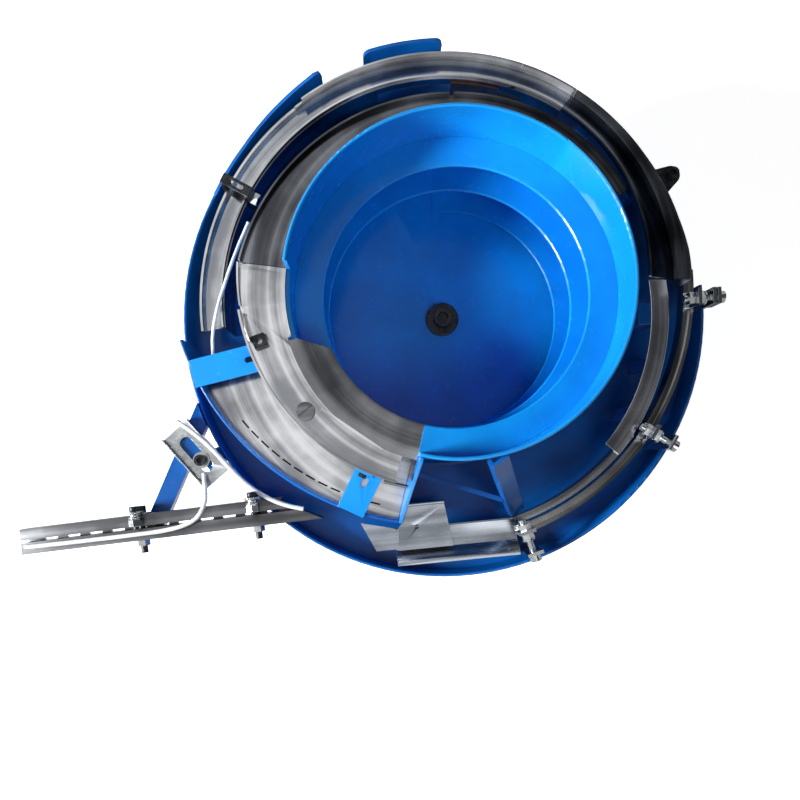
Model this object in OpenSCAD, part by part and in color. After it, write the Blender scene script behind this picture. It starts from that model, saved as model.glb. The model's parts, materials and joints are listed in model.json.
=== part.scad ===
// Vibratory bowl feeder with a steel outer lane, a washer tray and a short
// linear discharge track.  Z is up and the origin is on the bowl's axis, at
// the underside of the rubber feet.  Seen from above, parts travel clockwise,
// so every angle (counter-clockwise from +X) gets smaller along the flow.

/* [Feet and base] */
// Height of each rubber foot
foot_h = 30; // [20:1:45]
// Diameter of each rubber foot
foot_d = 40; // [32:1:44]
// Number of feet
foot_count = 4; // [4, 8]
// Distance of the feet from the bowl's axis
foot_ring_r = 110; // [105:1:115]
// Core diameter of the tapped M8 insert under each foot
foot_thread_d = 6.8; // [5:0.1:8.4]
// Depth of the insert under each foot
foot_insert_h = 12; // [8:1:14]
// Diameter of the foot studs
foot_stud_d = 10; // [8:1:12]
// Thickness of the cast base
base_t = 22; // [18:1:30]
// Radius of the cast base
base_r = 134; // [131:1:150]

/* [Springs] */
// Height between the base and the top plate
drive_gap = 122; // [116:1:140]
// Number of leaf spring packs
pack_count = 4; // [3, 4]
// Distance of the packs from the bowl's axis
pack_r = 96; // [92:1:98]
// Lean of the packs from upright
pack_lean = 20; // [12:1:24]
// Leaves in each pack
leaf_count = 3; // [2:1:3]
// Width of a leaf
leaf_w = 36; // [30:1:38]
// Thickness of a leaf
leaf_t = 2.5; // [1.5:0.5:3]
// Thickness of the spacers between leaves
spacer_t = 2; // [1:0.5:3]
// Length of leaf that is held at each end
clamp_len = 24; // [20:1:26]
// Thickness of the clamp plates
clamp_plate_t = 7; // [5:1:9]
// Thickness of the cast pads that the packs are bolted to
pad_t = 17; // [14:1:18]
// Diameter of the spring bolts
spring_bolt_d = 8; // [6:1:8]
// Distance between the two bolts of one clamp
spring_bolt_gap = 18; // [16:1:20]

/* [Magnet] */
// Height of the magnet bracket
magnet_bracket_h = 24; // [18:1:28]
// Width, depth and height of the laminated core
core_w = 64; // [60:1:68]
core_d = 44; // [36:1:50]
core_h = 62; // [56:1:64]
// Height of the core's yoke
yoke_h = 14; // [10:1:18]
// Width of the core's centre leg
core_leg_w = 20; // [16:1:24]
// Width of each winding window
window_w = 12; // [10:1:13]
// Air gap under the armature
air_gap = 1.5; // [1:0.1:2.5]
// Thickness of the armature
armature_t = 14; // [10:1:16]
// Thickness of the top plate
top_plate_t = 20; // [16:1:24]
// Radius of the top plate
top_plate_r = 120; // [116:1:124]

/* [Inner bowl] */
// Outer radius of the inner bowl
bowl_r = 130; // [128:1:132]
// Height of the wall above the bowl's floor
bowl_h = 130; // [124:1:140]
// Thickness of the coated wall
bowl_wall = 3; // [2:0.5:4]
// Thickness of the coated floor
bowl_floor_t = 6; // [4:1:8]
// Angles between which the wall is cut down to the steel deck
rim_cut_from = 173; // [168:1:176]
rim_cut_to = 257; // [255:1:259]
// Width of the spiral ledge at the floor and at the top
ledge_w_low = 27; // [25:1:31]
ledge_w_top = 22; // [20:1:24]
// Thickness of the ledge
ledge_t = 3; // [2:0.5:4]
// Angle at which the ledge leaves the floor
ledge_start = 95; // [60:1:110]
// Whole extra turns of the ledge
ledge_turns = 2; // [1, 2]
// Diameter of the bowl's centre bolt
centre_bolt_d = 10; // [8:1:12]
// Diameter of the centre bolt's washer
centre_washer_d = 30; // [26:1:36]

/* [Outer drum] */
// Outer radius of the drum
drum_r = 235; // [234:1:240]
// Thickness of the drum's wall
drum_wall = 3; // [2:0.5:3]
// Depth of the drum's floor under the bowl's floor
drum_drop = 10; // [8:1:12]
// Thickness of the drum's floor
drum_floor_t = 3; // [2:0.5:4]
// Height of the drum's plain rim over the bowl's floor
rim_h = 16; // [13:1:17]
// Height of the raised guard and tab over the bowl's floor
guard_h = 41; // [34:1:46]
// Height of the stub that is left beside the right lane, over the drum's floor
stub_h = 6; // [4:1:8]

/* [Steel deck] */
// Height of the deck's top over the bowl's floor
deck_h = 108; // [104:1:112]
// Thickness of the deck's sheet
sheet_t = 2; // [1.5:0.5:2]
// Height of the lips over the sheets they edge
lip_h = 5; // [3:1:8]
// Thickness of lips, lane walls and skirts
lip_t = 1.5; // [1:0.5:1.5]
// Fall of the return apron towards the bowl
apron_fall = 5; // [2:1:7]
// Distance of the fold between apron and deck from the bowl's wall
fold_out = 3; // [2:1:4]

/* [Lanes] */
// Height of the washer lane's centre line over the bowl's floor
lane_h = 30; // [28:1:32]
// Slope of the lane's floor, falling outwards
lane_tilt = 20; // [12:1:22]
// Distance of the left lane's centre line inside the drum's face, and its width
lane_inset = 30; // [29:1:31]
lane_w = 19.5; // [17:0.5:20]
// Wall height over the centre line, on the left lane and at the right lane's end
lane_wall_h = 6; // [5:1:12]
lane2_wall_h = 25; // [20:1:30]
// Angle at which the lane's curve tightens
turn_angle = 72; // [70:1:74]
// Angle of the seam between the two lanes
seam_angle = 57; // [56:1:60]
// Angle at which the left lane's wall starts
wall_start = 128; // [122:1:132]
// Height of the slotted rails' top over the bowl's floor
rail_top = 24; // [22:1:25]
// Height, width and gap of the slotted rails
rail_h = 12; // [8:1:14]
rail_w = 9; // [8:1:9]
rail_slot = 2.5; // [2:0.5:3]

/* [Tray] */
// Distance of the tray's outer wall inside the drum's face
tray_inset = 5; // [5:1:6]
// Height of the tray wall's top over the bowl's floor
tray_wall_h = 45; // [42:1:47]
// Width of the two bridge plates
bridge_w = 24; // [20:1:28]

/* [Chute and track] */
// Length of the straight chute
chute_len = 110; // [100:1:112]
// Width of the chute's floor
chute_w = 20; // [18:1:21]
// Angle of the chute in plan
chute_angle = 5.6; // [5:0.2:6]
// Angle of the linear track in plan
track_angle = 7; // [6:0.5:7.5]
// Length of the linear track
track_len = 264; // [220:1:280]
// Width and height of each track bar
bar_w = 10; // [8:1:11]
bar_h = 14; // [12:1:18]
// Slot between the bars
track_slot = 2.5; // [2:0.5:3]
// Thickness of the track's base strip
track_base_t = 3; // [2:0.5:3]
// Diameter of the cross bolts, clamp bolts and bracket screws
m6 = 6; // [5, 6]
// Outer diameter of the air tubes
tube_d = 4; // [3:0.5:4]

/* [Hidden] */
$fn = 96;
seat = 0.1;      // clearance between pieces that sit against each other
big = 600;       // longer than anything on the feeder
wedge_r = 900;   // reach of the sectors that cut by angle

// Heights of the main planes
base_top = foot_h + base_t;
plate_under = base_top + drive_gap;
plate_top = plate_under + top_plate_t;
floor_z = plate_top + bowl_floor_t;
drum_top = floor_z - drum_drop;
deck_z = floor_z + deck_h;
lane_z = floor_z + lane_h;
rail_z = floor_z + rail_top;

// Spring packs, in each pack's own leaning frame
pack_t = leaf_count * leaf_t + (leaf_count - 1) * spacer_t;
leaf_end_gap = 4;
leaf_len = (drive_gap - 2 * leaf_end_gap - pack_t * sin(pack_lean)) / cos(pack_lean);
pack_z = base_top + drive_gap / 2;
spring_head_d = spring_bolt_d * 1.6;
spring_thread = 12;

// Points round the rim are given for a drum and a bowl of these two radii, and
// move out or in with them
given = [235, 130];
function outward(p, shift) =
  let (flat = [p[0], p[1]], moved = flat + shift * flat / norm(flat))
  len(p) == 2 ? moved : [moved[0], moved[1], p[2]];
function by_drum(p) = outward(p, drum_r - given[0]);
function by_bowl(p) = outward(p, bowl_r - given[1]);

ledge_r_low = bowl_r - bowl_wall - ledge_w_low;
ledge_r_top = bowl_r - bowl_wall - ledge_w_top;
fold_r = bowl_r + fold_out;
lane_r = drum_r - lane_inset;
tray_r = drum_r - tray_inset;

// Centre lines of the curved sheets: [x, y] of each arc's centre
// The left lane and its wall share one centre; past the turn, the lane's inner
// edge and its wall tighten by different amounts, so the floor grows wider.
lane_c = [0, 10];
lane_ri = lane_r - lane_w / 2;
lane_ro = lane_r + lane_w / 2;
turn_dir = [cos(turn_angle), sin(turn_angle)];
inner_turn = 25.5;
outer_turn = 16;
lane2_c = lane_c + inner_turn * turn_dir;
lane2_ri = lane_ri - inner_turn;
wall2_c = lane_c + outer_turn * turn_dir;
wall2_ri = lane_ro - outer_turn;
lane2_end = -1;
strip_ri = lane_r - 22;
strip_ro = strip_ri + 15.5;
strip_end = -39;
rail_c = [-8, 20];
rail_r = drum_r - 10;
tray_c = [-9, 47];
deck_c = [-3, 12];
deck_r = bowl_r + 33;
pin_c = [-3, -20];
pin_r = bowl_r + 37;
pin_end = 30;
pin_narrow_r = bowl_r + 17;

// Inner wall of the drum, which the lanes and the tray stay inside
drum_ri = drum_r - drum_wall;

// Standard hardware
m6_nut_bore = m6 + 0.2;
m6_nut_af = m6 * 10 / 6;
m6_nut_h = m6 * 5 / 6;
m6_washer_d = m6 * 2;
m6_washer_t = 1.2;

// ---------------------------------------------------------------- helpers

// A flat sector of the plane between two angles, up to 180 degrees wide
module wedge(from, to) {
  mid = (from + to) / 2;
  polygon([
    [0, 0],
    wedge_r * [cos(from), sin(from)],
    1.5 * wedge_r * [cos(mid), sin(mid)],
    wedge_r * [cos(to), sin(to)]
  ]);
}

// A curved strip of rectangular section about the centre c
module arc_strip(c, r1, r2, from, to, z1, z2) {
  translate([c[0], c[1], z1])
    rotate([0, 0, from])
      rotate_extrude(angle = to - from)
        translate([r1, 0])
          square([r2 - r1, z2 - z1]);
}

// The same strip with a rounded top edge, as a coated wall has
module arc_wall(c, r1, r2, from, to, z1, z2) {
  t = r2 - r1;
  translate([c[0], c[1], z1])
    rotate([0, 0, from])
      rotate_extrude(angle = to - from)
        translate([r1, 0]) {
          square([t, z2 - z1 - t / 2]);
          translate([t / 2, z2 - z1 - t / 2])
            circle(d = t, $fn = 24);
        }
}

// Places children at radius r and angle a, with +X pointing away from the axis
module at_polar(r, a, z = 0) {
  rotate([0, 0, a])
    translate([r, 0, z])
      children();
}

// A flat-sided bar from p to q, lying on its width
module bar_between(p, q, w, t) {
  d = q - p;
  translate(p)
    rotate([0, 0, atan2(d[1], d[0])])
      rotate([0, -atan2(d[2], norm([d[0], d[1]])), 0])
        translate([0, -w / 2, -t / 2])
          cube([norm(d), w, t]);
}

// A closed skin over a list of equal rings of points
module skin(rings) {
  n = len(rings[0]);
  count = len(rings);
  polyhedron(
    points = [for (ring = rings) for (p = ring) p],
    faces = concat(
      [[for (i = [0 : n - 1]) i]],
      [for (k = [0 : count - 2]) for (i = [0 : n - 1])
        [k * n + i, (k + 1) * n + i, (k + 1) * n + (i + 1) % n, k * n + (i + 1) % n]],
      [[for (i = [n - 1 : -1 : 0]) (count - 1) * n + i]]
    ),
    convexity = 6
  );
}

// One point of a smooth curve between b and c, with neighbours a and d
function smooth(a, b, c, d, u) =
  0.5 * (2 * b + (c - a) * u + (2 * a - 5 * b + 4 * c - d) * u * u
    + (3 * b - a - 3 * c + d) * u * u * u);

// The whole smooth curve through a list of points
function curve(p, steps) = [
  for (i = [0 : len(p) - 2]) for (s = [0 : steps - (i == len(p) - 2 ? 0 : 1)])
    smooth(p[max(i - 1, 0)], p[i], p[i + 1], p[min(i + 2, len(p) - 1)], s / steps)
];

function unit(v) = v / norm(v);

// A round tube swept along a smooth curve that never runs straight up
module tube(route, d, steps = 3, sides = 10) {
  path = curve(route, steps);
  last = len(path) - 1;
  skin([
    for (i = [0 : last])
      let (
        along = unit(path[min(i + 1, last)] - path[max(i - 1, 0)]),
        side = unit(cross(along, [0, 0, 1])),
        up = cross(side, along)
      )
      [for (k = [0 : sides - 1])
        path[i] + d / 2 * (cos(360 * k / sides) * side + sin(360 * k / sides) * up)]
  ]);
}

// A hexagonal nut with its bore
module hex_nut(af, h, d) {
  difference() {
    cylinder(d = af / cos(30), h = h, $fn = 6);
    translate([0, 0, -1])
      cylinder(d = d, h = h + 2, $fn = 32);
  }
}

// A socket screw: head from z = 0 up, shank of length l down
module socket_screw(d, l) {
  head_d = d * 10 / 6;
  difference() {
    union() {
      cylinder(d = head_d, h = d, $fn = 48);
      translate([0, 0, -l])
        cylinder(d = d, h = l + 0.5, $fn = 48);
    }
    translate([0, 0, d * 0.45])
      cylinder(d = d * 0.95, h = d, $fn = 6);
  }
}

// A plain washer from z = 0 up
module plain_washer(outer, inner, t) {
  difference() {
    cylinder(d = outer, h = t, $fn = 48);
    translate([0, 0, -1])
      cylinder(d = inner, h = t + 2, $fn = 48);
  }
}

// A rounded slot cut of length l (end to end) and width w, centred
module slot_cut(l, w, h) {
  translate([0, 0, -h / 2]) {
    translate([-(l - w) / 2, -w / 2, 0])
      cube([l - w, w, h]);
    for (s = [-1, 1])
      translate([s * (l - w) / 2, 0, 0])
        cylinder(d = w, h = h, $fn = 32);
  }
}

// ------------------------------------------------------------- lower drive

module each_foot() {
  for (i = [0 : foot_count - 1])
    at_polar(foot_ring_r, 360 * (i + 0.5) / foot_count)
      children();
}

stud_in_rubber = 10;
stud_in_base = 16;

module rubber_feet() {
  groove_r = 3;
  color("#1d1d1f")
    each_foot()
      difference() {
        cylinder(d = foot_d, h = foot_h);
        translate([0, 0, -1])
          cylinder(d = insert_d + 2 * seat, h = foot_insert_h + seat + 1);
        translate([0, 0, foot_h - stud_in_rubber - seat])
          cylinder(d = foot_stud_d + 2 * seat, h = stud_in_rubber + 1);
        translate([0, 0, foot_h / 2])
          rotate_extrude()
            translate([foot_d / 2 + groove_r / 3, 0])
              circle(r = groove_r, $fn = 24);
      }
}

insert_d = foot_thread_d + 9;

module foot_inserts() {
  color("#b8bcc0")
    each_foot()
      difference() {
        cylinder(d = insert_d, h = foot_insert_h);
        translate([0, 0, -1])
          cylinder(d = foot_thread_d, h = foot_insert_h + 2);
      }
}

module foot_studs() {
  color("#b8bcc0")
    each_foot()
      translate([0, 0, foot_h - stud_in_rubber])
        cylinder(d = foot_stud_d, h = stud_in_rubber + stud_in_base);
}

// Moves children into the leaning frame of every spring pack
module each_pack() {
  for (i = [0 : pack_count - 1])
    at_polar(pack_r, 360 * i / pack_count, pack_z)
      rotate([-pack_lean, 0, 0])
        children();
}

// The two bolt axes of one clamp; end is -1 for the lower, 1 for the upper
module each_spring_bolt(end) {
  for (s = [-1, 1])
    translate([s * spring_bolt_gap / 2, 0, end * (leaf_len - clamp_len) / 2])
      rotate([end * 90, 0, 0])
        children();
}

// Pads that hold one end of the packs, cut off level inside the plate they grow from
module spring_pads(end) {
  spare = 40;
  y0 = end < 0 ? pack_t / 2 + seat : -pack_t / 2 - seat - pad_t;
  z0 = end < 0 ? -leaf_len / 2 - spare : leaf_len / 2 - clamp_len;
  intersection() {
    each_pack()
      difference() {
        translate([-leaf_w / 2, y0, z0])
          cube([leaf_w, pad_t, clamp_len + spare]);
        each_spring_bolt(end)
          translate([0, 0, pack_t / 2])
            cylinder(d = spring_bolt_d + 2 * seat, h = spring_thread + 1);
      }
    translate([-big / 2, -big / 2, end < 0 ? base_top - 1 : base_top])
      cube([big, big, end < 0 ? drive_gap : drive_gap + 1]);
  }
}

gland_angle = 112;
gland_d = 16;
gland_in = 24;

module base_casting() {
  color("#3f4a55")
    union() {
      difference() {
        translate([0, 0, foot_h])
          cylinder(r = base_r, h = base_t);
        each_foot()
          translate([0, 0, foot_h - 1])
            cylinder(d = foot_stud_d + 2 * seat, h = stud_in_base + 1 + seat);
        at_polar(base_r - gland_in - seat, gland_angle, foot_h + base_t / 2)
          rotate([0, 90, 0])
            cylinder(d = gland_d + 2 * seat, h = 2 * gland_in);
      }
      spring_pads(-1);
    }
}

module cable_gland() {
  color("#202225")
    at_polar(base_r, gland_angle, foot_h + base_t / 2)
      rotate([0, 90, 0])
        difference() {
          union() {
            translate([0, 0, -gland_in])
              cylinder(d = gland_d, h = gland_in + 1);
            translate([0, 0, seat])
              cylinder(d = gland_d * 1.35, h = 5, $fn = 6);
            cylinder(d = gland_d * 1.2, h = 12);
            translate([0, 0, 12])
              cylinder(d1 = gland_d * 1.2, d2 = gland_d * 0.8, h = 6, $fn = 48);
          }
          translate([0, 0, -gland_in - 1])
            cylinder(d = gland_d * 0.45, h = gland_in + 30);
        }
}

// Clamp plates of one end, on the side away from the cast pad
module clamp_plates(end) {
  y0 = end < 0 ? -pack_t / 2 - seat - clamp_plate_t : pack_t / 2 + seat;
  each_pack()
    difference() {
      translate([-leaf_w / 2, y0, end < 0 ? -leaf_len / 2 : leaf_len / 2 - clamp_len])
        cube([leaf_w, clamp_plate_t, clamp_len]);
      each_spring_bolt(end)
        cylinder(d = spring_bolt_d + 4 * seat, h = big, center = true);
    }
}

module spring_spacers(end) {
  each_pack()
    for (i = [1 : leaf_count - 1])
      difference() {
        translate([-leaf_w / 2, i * (leaf_t + spacer_t) - spacer_t - pack_t / 2 + seat / 2,
            end < 0 ? -leaf_len / 2 : leaf_len / 2 - clamp_len])
          cube([leaf_w, spacer_t - seat, clamp_len]);
        each_spring_bolt(end)
          cylinder(d = spring_bolt_d + 4 * seat, h = big, center = true);
      }
}

// Bolts of one end: the head bears on the clamp plate, the shank enters the pad
module spring_bolts(end) {
  reach = pack_t + 2 * seat + clamp_plate_t;
  each_pack()
    each_spring_bolt(end)
      translate([0, 0, -pack_t / 2 - seat - clamp_plate_t])
        rotate([180, 0, 0])
          difference() {
            union() {
              translate([0, 0, seat / 2])
                cylinder(d = spring_head_d, h = spring_bolt_d, $fn = 48);
              translate([0, 0, -reach - spring_thread])
                cylinder(d = spring_bolt_d, h = reach + spring_thread + 1, $fn = 48);
            }
            translate([0, 0, spring_bolt_d * 0.5])
              cylinder(d = spring_bolt_d * 0.8, h = spring_bolt_d, $fn = 6);
          }
}

module lower_spring_clamps() {
  color("#8b9096") clamp_plates(-1);
}

module lower_spring_spacers() {
  color("#9aa0a6") spring_spacers(-1);
}

module lower_spring_bolts() {
  color("#2a2b2e") spring_bolts(-1);
}

module leaf_springs() {
  color("#565d66")
    each_pack()
      for (i = [0 : leaf_count - 1])
        difference() {
          translate([-leaf_w / 2, i * (leaf_t + spacer_t) - pack_t / 2, -leaf_len / 2])
            cube([leaf_w, leaf_t, leaf_len]);
          for (end = [-1, 1])
            each_spring_bolt(end)
              cylinder(d = spring_bolt_d + 4 * seat, h = big, center = true);
        }
}

core_z = base_top + magnet_bracket_h;
core_top = core_z + core_h;

module magnet_bracket() {
  color("#6d747b")
    translate([-core_w / 2, -core_d / 2, base_top])
      cube([core_w, core_d, magnet_bracket_h]);
}

module magnet_core() {
  color("#7b7f83")
    difference() {
      translate([-core_w / 2, -core_d / 2, core_z])
        cube([core_w, core_d, core_h]);
      for (s = [-1, 1])
        translate([s * (core_leg_w + window_w) / 2 - window_w / 2, -core_d, core_z + yoke_h])
          cube([window_w, 2 * core_d, core_h]);
    }
}

module magnet_coil() {
  build = window_w - 3 * seat;
  gap = 2 * seat;
  winding_h = core_h - yoke_h - 3;
  color("#a4552c")
    translate([0, 0, core_z + yoke_h + seat])
      linear_extrude(winding_h)
        difference() {
          square([core_leg_w + 2 * build, core_d + 2 * build], center = true);
          square([core_leg_w + gap, core_d + gap], center = true);
        }
}

// ------------------------------------------------------------- upper drive

module upper_spring_clamps() {
  color("#8b9096") clamp_plates(1);
}

module upper_spring_spacers() {
  color("#9aa0a6") spring_spacers(1);
}

module upper_spring_bolts() {
  color("#2a2b2e") spring_bolts(1);
}

armature_z = core_top + air_gap;
centre_bolt_len = 26;

module armature() {
  color("#7b7f83")
    translate([-core_w / 2, -core_d / 2, armature_z])
      cube([core_w, core_d, armature_t]);
}

module top_plate() {
  boss_z = armature_z + armature_t;
  color("#3f4a55")
    union() {
      difference() {
        union() {
          translate([0, 0, plate_under])
            cylinder(r = top_plate_r, h = top_plate_t);
          translate([0, 0, boss_z])
            cylinder(r = core_d / 2, h = plate_under - boss_z + 1);
        }
        translate([0, 0, floor_z - centre_bolt_len - 1])
          cylinder(d = centre_bolt_d + 2 * seat, h = centre_bolt_len + 1);
      }
      spring_pads(1);
    }
}

// -------------------------------------------------------------- inner bowl

// The apron's slope carries on over the wall, which is cut just beneath it
apron_slope = apron_fall / (fold_r - ledge_r_top);
apron_under = deck_z - apron_slope * (fold_r - bowl_r + bowl_wall) - sheet_t;
wall_cut_z = apron_under - seat;

module inner_bowl() {
  bore_r = centre_bolt_d / 2 + 2 * seat;
  wall_h = floor_z + bowl_h - plate_top - bowl_wall / 2;
  color("#0a6fd6")
    difference() {
      translate([0, 0, plate_top])
        rotate_extrude() {
          translate([bore_r, 0])
            square([bowl_r - bore_r, bowl_floor_t]);
          translate([bowl_r - bowl_wall, 0])
            square([bowl_wall, wall_h]);
          translate([bowl_r - bowl_wall / 2, wall_h])
            circle(d = bowl_wall, $fn = 24);
        }
      translate([0, 0, wall_cut_z])
        linear_extrude(big)
          wedge(rim_cut_from, rim_cut_to);
    }
}

ledge_sweep = 360 * ledge_turns + ledge_start - (rim_cut_to - 360);
ledge_low = 1;
ledge_ro = bowl_r - bowl_wall - seat;

// One section of the ledge, at share u of its way up
function ledge_ring(u) =
  let (
    a = ledge_start - u * ledge_sweep,
    top = ledge_low + u * (deck_h - ledge_low),
    low = max(top - ledge_t, seat),
    r = ledge_r_low + u * (ledge_r_top - ledge_r_low),
    bead = min(ledge_t, top - low) / 3,
    section = [
      [r + bead, low], [ledge_ro, low], [ledge_ro, top],
      [r + bead, top], [r, top - bead], [r, low + bead]
    ]
  )
  [for (p = section) [p[0] * cos(a), p[0] * sin(a), floor_z + p[1]]];

module spiral_ledge() {
  steps = 60 * (ledge_turns + 1);
  color("#0b78e3")
    skin([for (i = [0 : steps]) ledge_ring(i / steps)]);
}

centre_washer_t = 4;

module centre_washer() {
  color("#26282b")
    translate([0, 0, floor_z])
      plain_washer(centre_washer_d, centre_bolt_d + 4 * seat, centre_washer_t);
}

module centre_bolt() {
  color("#1b1c1e")
    translate([0, 0, floor_z + centre_washer_t])
      socket_screw(centre_bolt_d, centre_bolt_len + centre_washer_t);
}

// -------------------------------------------------------------- outer drum

guard_from = 118;
guard_to = 152;
tab_from = 91;
tab_to = 108;
corner_r = 6;
stub_from = 7;
stub_to = 64;

// Side view of the raised guard: full height at its cut end, falling to the rim
module guard_outline() {
  run = 2 * drum_r * sin((guard_to - guard_from) / 2);
  rise = guard_h - rim_h;
  polygon([
    [-run / 2, -rim_h], [run / 2, -rim_h], [run / 2, 0.5], [run / 6, rise * 0.22],
    [-run / 6, rise * 0.62], [-run / 2 + 2 * corner_r, rise - 2],
    [-run / 2 + corner_r, rise], [-run / 2 + 1, rise - 1], [-run / 2, rise - corner_r]
  ]);
}

module tab_outline() {
  run = 2 * drum_r * sin((tab_to - tab_from) / 2);
  rise = guard_h - rim_h;
  translate([-run / 2, -rim_h])
    square([run, rim_h + rise - corner_r]);
  translate([-run / 2 + corner_r, 0])
    square([run - 2 * corner_r, rise]);
  for (s = [-1, 1])
    translate([s * (run / 2 - corner_r), rise - corner_r])
      circle(r = corner_r, $fn = 32);
}

// Bends a side view onto the drum's wall around the angle mid
module on_drum_wall(mid) {
  intersection() {
    difference() {
      cylinder(r = drum_r - seat, h = floor_z + 2 * guard_h);
      translate([0, 0, -1])
        cylinder(r = drum_ri + seat, h = floor_z + 2 * guard_h + 2);
    }
    rotate([0, 0, mid])
      translate([0, 0, floor_z + rim_h])
        rotate([90, 0, 90])
          linear_extrude(big)
            children();
  }
}

module outer_drum() {
  wall_h = floor_z + rim_h - drum_top + drum_floor_t - drum_wall / 2;
  color("#0a63c4") {
    difference() {
      translate([0, 0, drum_top - drum_floor_t])
        rotate_extrude() {
          translate([bowl_r + seat, 0])
            square([drum_r - bowl_r - seat, drum_floor_t]);
          translate([drum_ri, 0])
            square([drum_wall, wall_h]);
          translate([drum_r - drum_wall / 2, wall_h])
            circle(d = drum_wall, $fn = 24);
        }
      translate([0, 0, drum_top + stub_h])
        linear_extrude(big)
          wedge(stub_from, stub_to);
    }
    on_drum_wall((guard_from + guard_to) / 2)
      guard_outline();
    on_drum_wall((tab_from + tab_to) / 2)
      tab_outline();
  }
}

// -------------------------------------------------------------- steel deck

apron_from = 197;
deck_end = rim_cut_to - 5;
// The apron's free corner, cut along a straight line across the ledge
apron_nose = 15;

module return_apron() {
  color("#c9ccd0")
    difference() {
      rotate([0, 0, apron_from])
        rotate_extrude(angle = rim_cut_to - apron_from)
          polygon([
            [ledge_r_top, deck_z - apron_fall - sheet_t], [fold_r, deck_z - sheet_t],
            [fold_r, deck_z], [ledge_r_top, deck_z - apron_fall]
          ]);
      rotate([0, 0, apron_from])
        translate([ledge_r_top - 1, 0, deck_z - 2 * apron_fall - sheet_t])
          linear_extrude(3 * apron_fall + 2 * sheet_t)
            polygon([[-1, -1], [bowl_r - ledge_r_top - 1, -1], [-1, apron_nose]]);
    }
}

skirt_from = 190;

// Outline of the deck outside the fold, and outside the bare wall before the apron
module deck_area() {
  difference() {
    intersection() {
      translate(deck_c)
        circle(r = deck_r);
      wedge(rim_cut_from, deck_end);
    }
    circle(r = bowl_r + seat);
    intersection() {
      circle(r = fold_r + seat);
      wedge(apron_from - 1, rim_cut_to + 1);
    }
  }
}

module exit_deck() {
  color("#b9bdc2") {
    translate([0, 0, deck_z - sheet_t])
      linear_extrude(sheet_t)
        deck_area();
    arc_strip(deck_c, deck_r - lip_t, deck_r - seat,
      own_angle(deck_c, deck_r, rim_cut_from + 0.3), skirt_from - 1,
      deck_z - sheet_t / 2, deck_z + lip_h);
  }
}

skirt_to = 255;

// Upright sheet under the deck's outer edge; its top is the deck's lip
module deck_skirt() {
  color("#a9adb2")
    arc_strip(deck_c, deck_r + seat, deck_r + seat + lip_t, skirt_from, skirt_to,
      lane_z + seat, deck_z + lip_h);
}

module deck_guide() {
  color("#d5d8db")
    bar_between(by_bowl([-102, -91, deck_z + 4 + seat]),
      by_bowl([-56, -122, deck_z + 4 + seat]), 2, 8);
}

module deck_screw() {
  color("#6f7377")
    at_polar(bowl_r + 17, 219, deck_z + seat)
      socket_screw_flat();
}

// A low, wide, slotted head
module socket_screw_flat() {
  difference() {
    cylinder(d = 14, h = 3, $fn = 48);
    translate([-8, -0.9, 1.6])
      cube([16, 1.8, 3]);
  }
}

blade_t = 1.5;

// A thin upright blade along the lip, its ends cut back to a point
module deck_blade() {
  r2 = deck_r - lip_t - seat;
  color("#7f858b")
    intersection() {
      arc_strip(deck_c, r2 - blade_t, r2, 187, 199.5, deck_z + seat, deck_z + lip_h + 8);
      rotate([0, 0, 193])
        translate([0, 0, deck_z])
          rotate([90, 0, 90])
            linear_extrude(big)
              polygon([[-18, 0], [18, 0], [18, 3], [6, lip_h + 7], [-6, lip_h + 7], [-18, 3]]);
    }
}

module blade_nut() {
  side = 10;
  color("#17181a")
    translate(deck_c)
      at_polar(deck_r - lip_t - blade_t - 2 * seat, 199.6, deck_z + seat)
        difference() {
          translate([-side - seat, -side / 2, 0])
            cube([side, side, side / 2]);
          translate([-side / 2 - seat, 0, -1])
            cylinder(d = m6 - 1, h = side, $fn = 32);
        }
}

module pin_lane() {
  color("#8d9196") {
    translate([0, 0, deck_z - sheet_t])
      linear_extrude(sheet_t)
        difference() {
          union() {
            intersection() {
              translate(pin_c)
                circle(r = pin_r);
              wedge(90, rim_cut_from - 0.2);
            }
            intersection() {
              circle(r = pin_narrow_r);
              wedge(pin_end, 90.1);
            }
          }
          circle(r = bowl_r + seat);
        }
    arc_strip(pin_c, pin_r - lip_t, pin_r, 91, own_angle(pin_c, pin_r, rim_cut_from - 0.3),
      deck_z - sheet_t, deck_z + lip_h);
    arc_strip([0, 0], pin_narrow_r - lip_t, pin_narrow_r, pin_end, 91,
      deck_z - sheet_t, deck_z + lip_h);
  }
}

// ------------------------------------------------------------------- lanes

lane_from = 187;
low_lip = 2.5;

// Height of the tilted floor's top, a distance d out from the lane's inner edge
function lane_fall(d) = lane_w / 2 * tan(lane_tilt) - d * tan(lane_tilt);

// Section of the tilted floor with its low inner lip; w is its width
module lane_section(r, w) {
  polygon([
    [r, lane_fall(0) - sheet_t], [r + w, lane_fall(w) - sheet_t], [r + w, lane_fall(w)],
    [r + lip_t, lane_fall(lip_t)], [r + lip_t, lane_fall(0) + low_lip],
    [r, lane_fall(0) + low_lip]
  ]);
}

// The floor's section swept about the centre c
module lane_sweep(c, r, w, from, to) {
  translate([c[0], c[1], lane_z])
    rotate([0, 0, from])
      rotate_extrude(angle = to - from)
        lane_section(r, w);
}

// Everything inside the right wall's inner face
module inside_wall2() {
  translate([wall2_c[0], wall2_c[1], 0])
    cylinder(r = wall2_ri - seat, h = big);
}

lane_foot = lane_fall(lane_w) - sheet_t;

module washer_lane_left() {
  color("#a3a7ab") {
    lane_sweep(lane_c, lane_ri, lane_w, turn_angle, lane_from);
    intersection() {
      lane_sweep(lane2_c, lane2_ri, lane_w + 12, seam_angle, turn_angle + 0.02);
      inside_wall2();
    }
    arc_strip(lane_c, lane_ro - 0.5, lane_ro + lip_t, wall_start, lane_from,
      lane_z + lane_foot, lane_z);
  }
}

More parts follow.
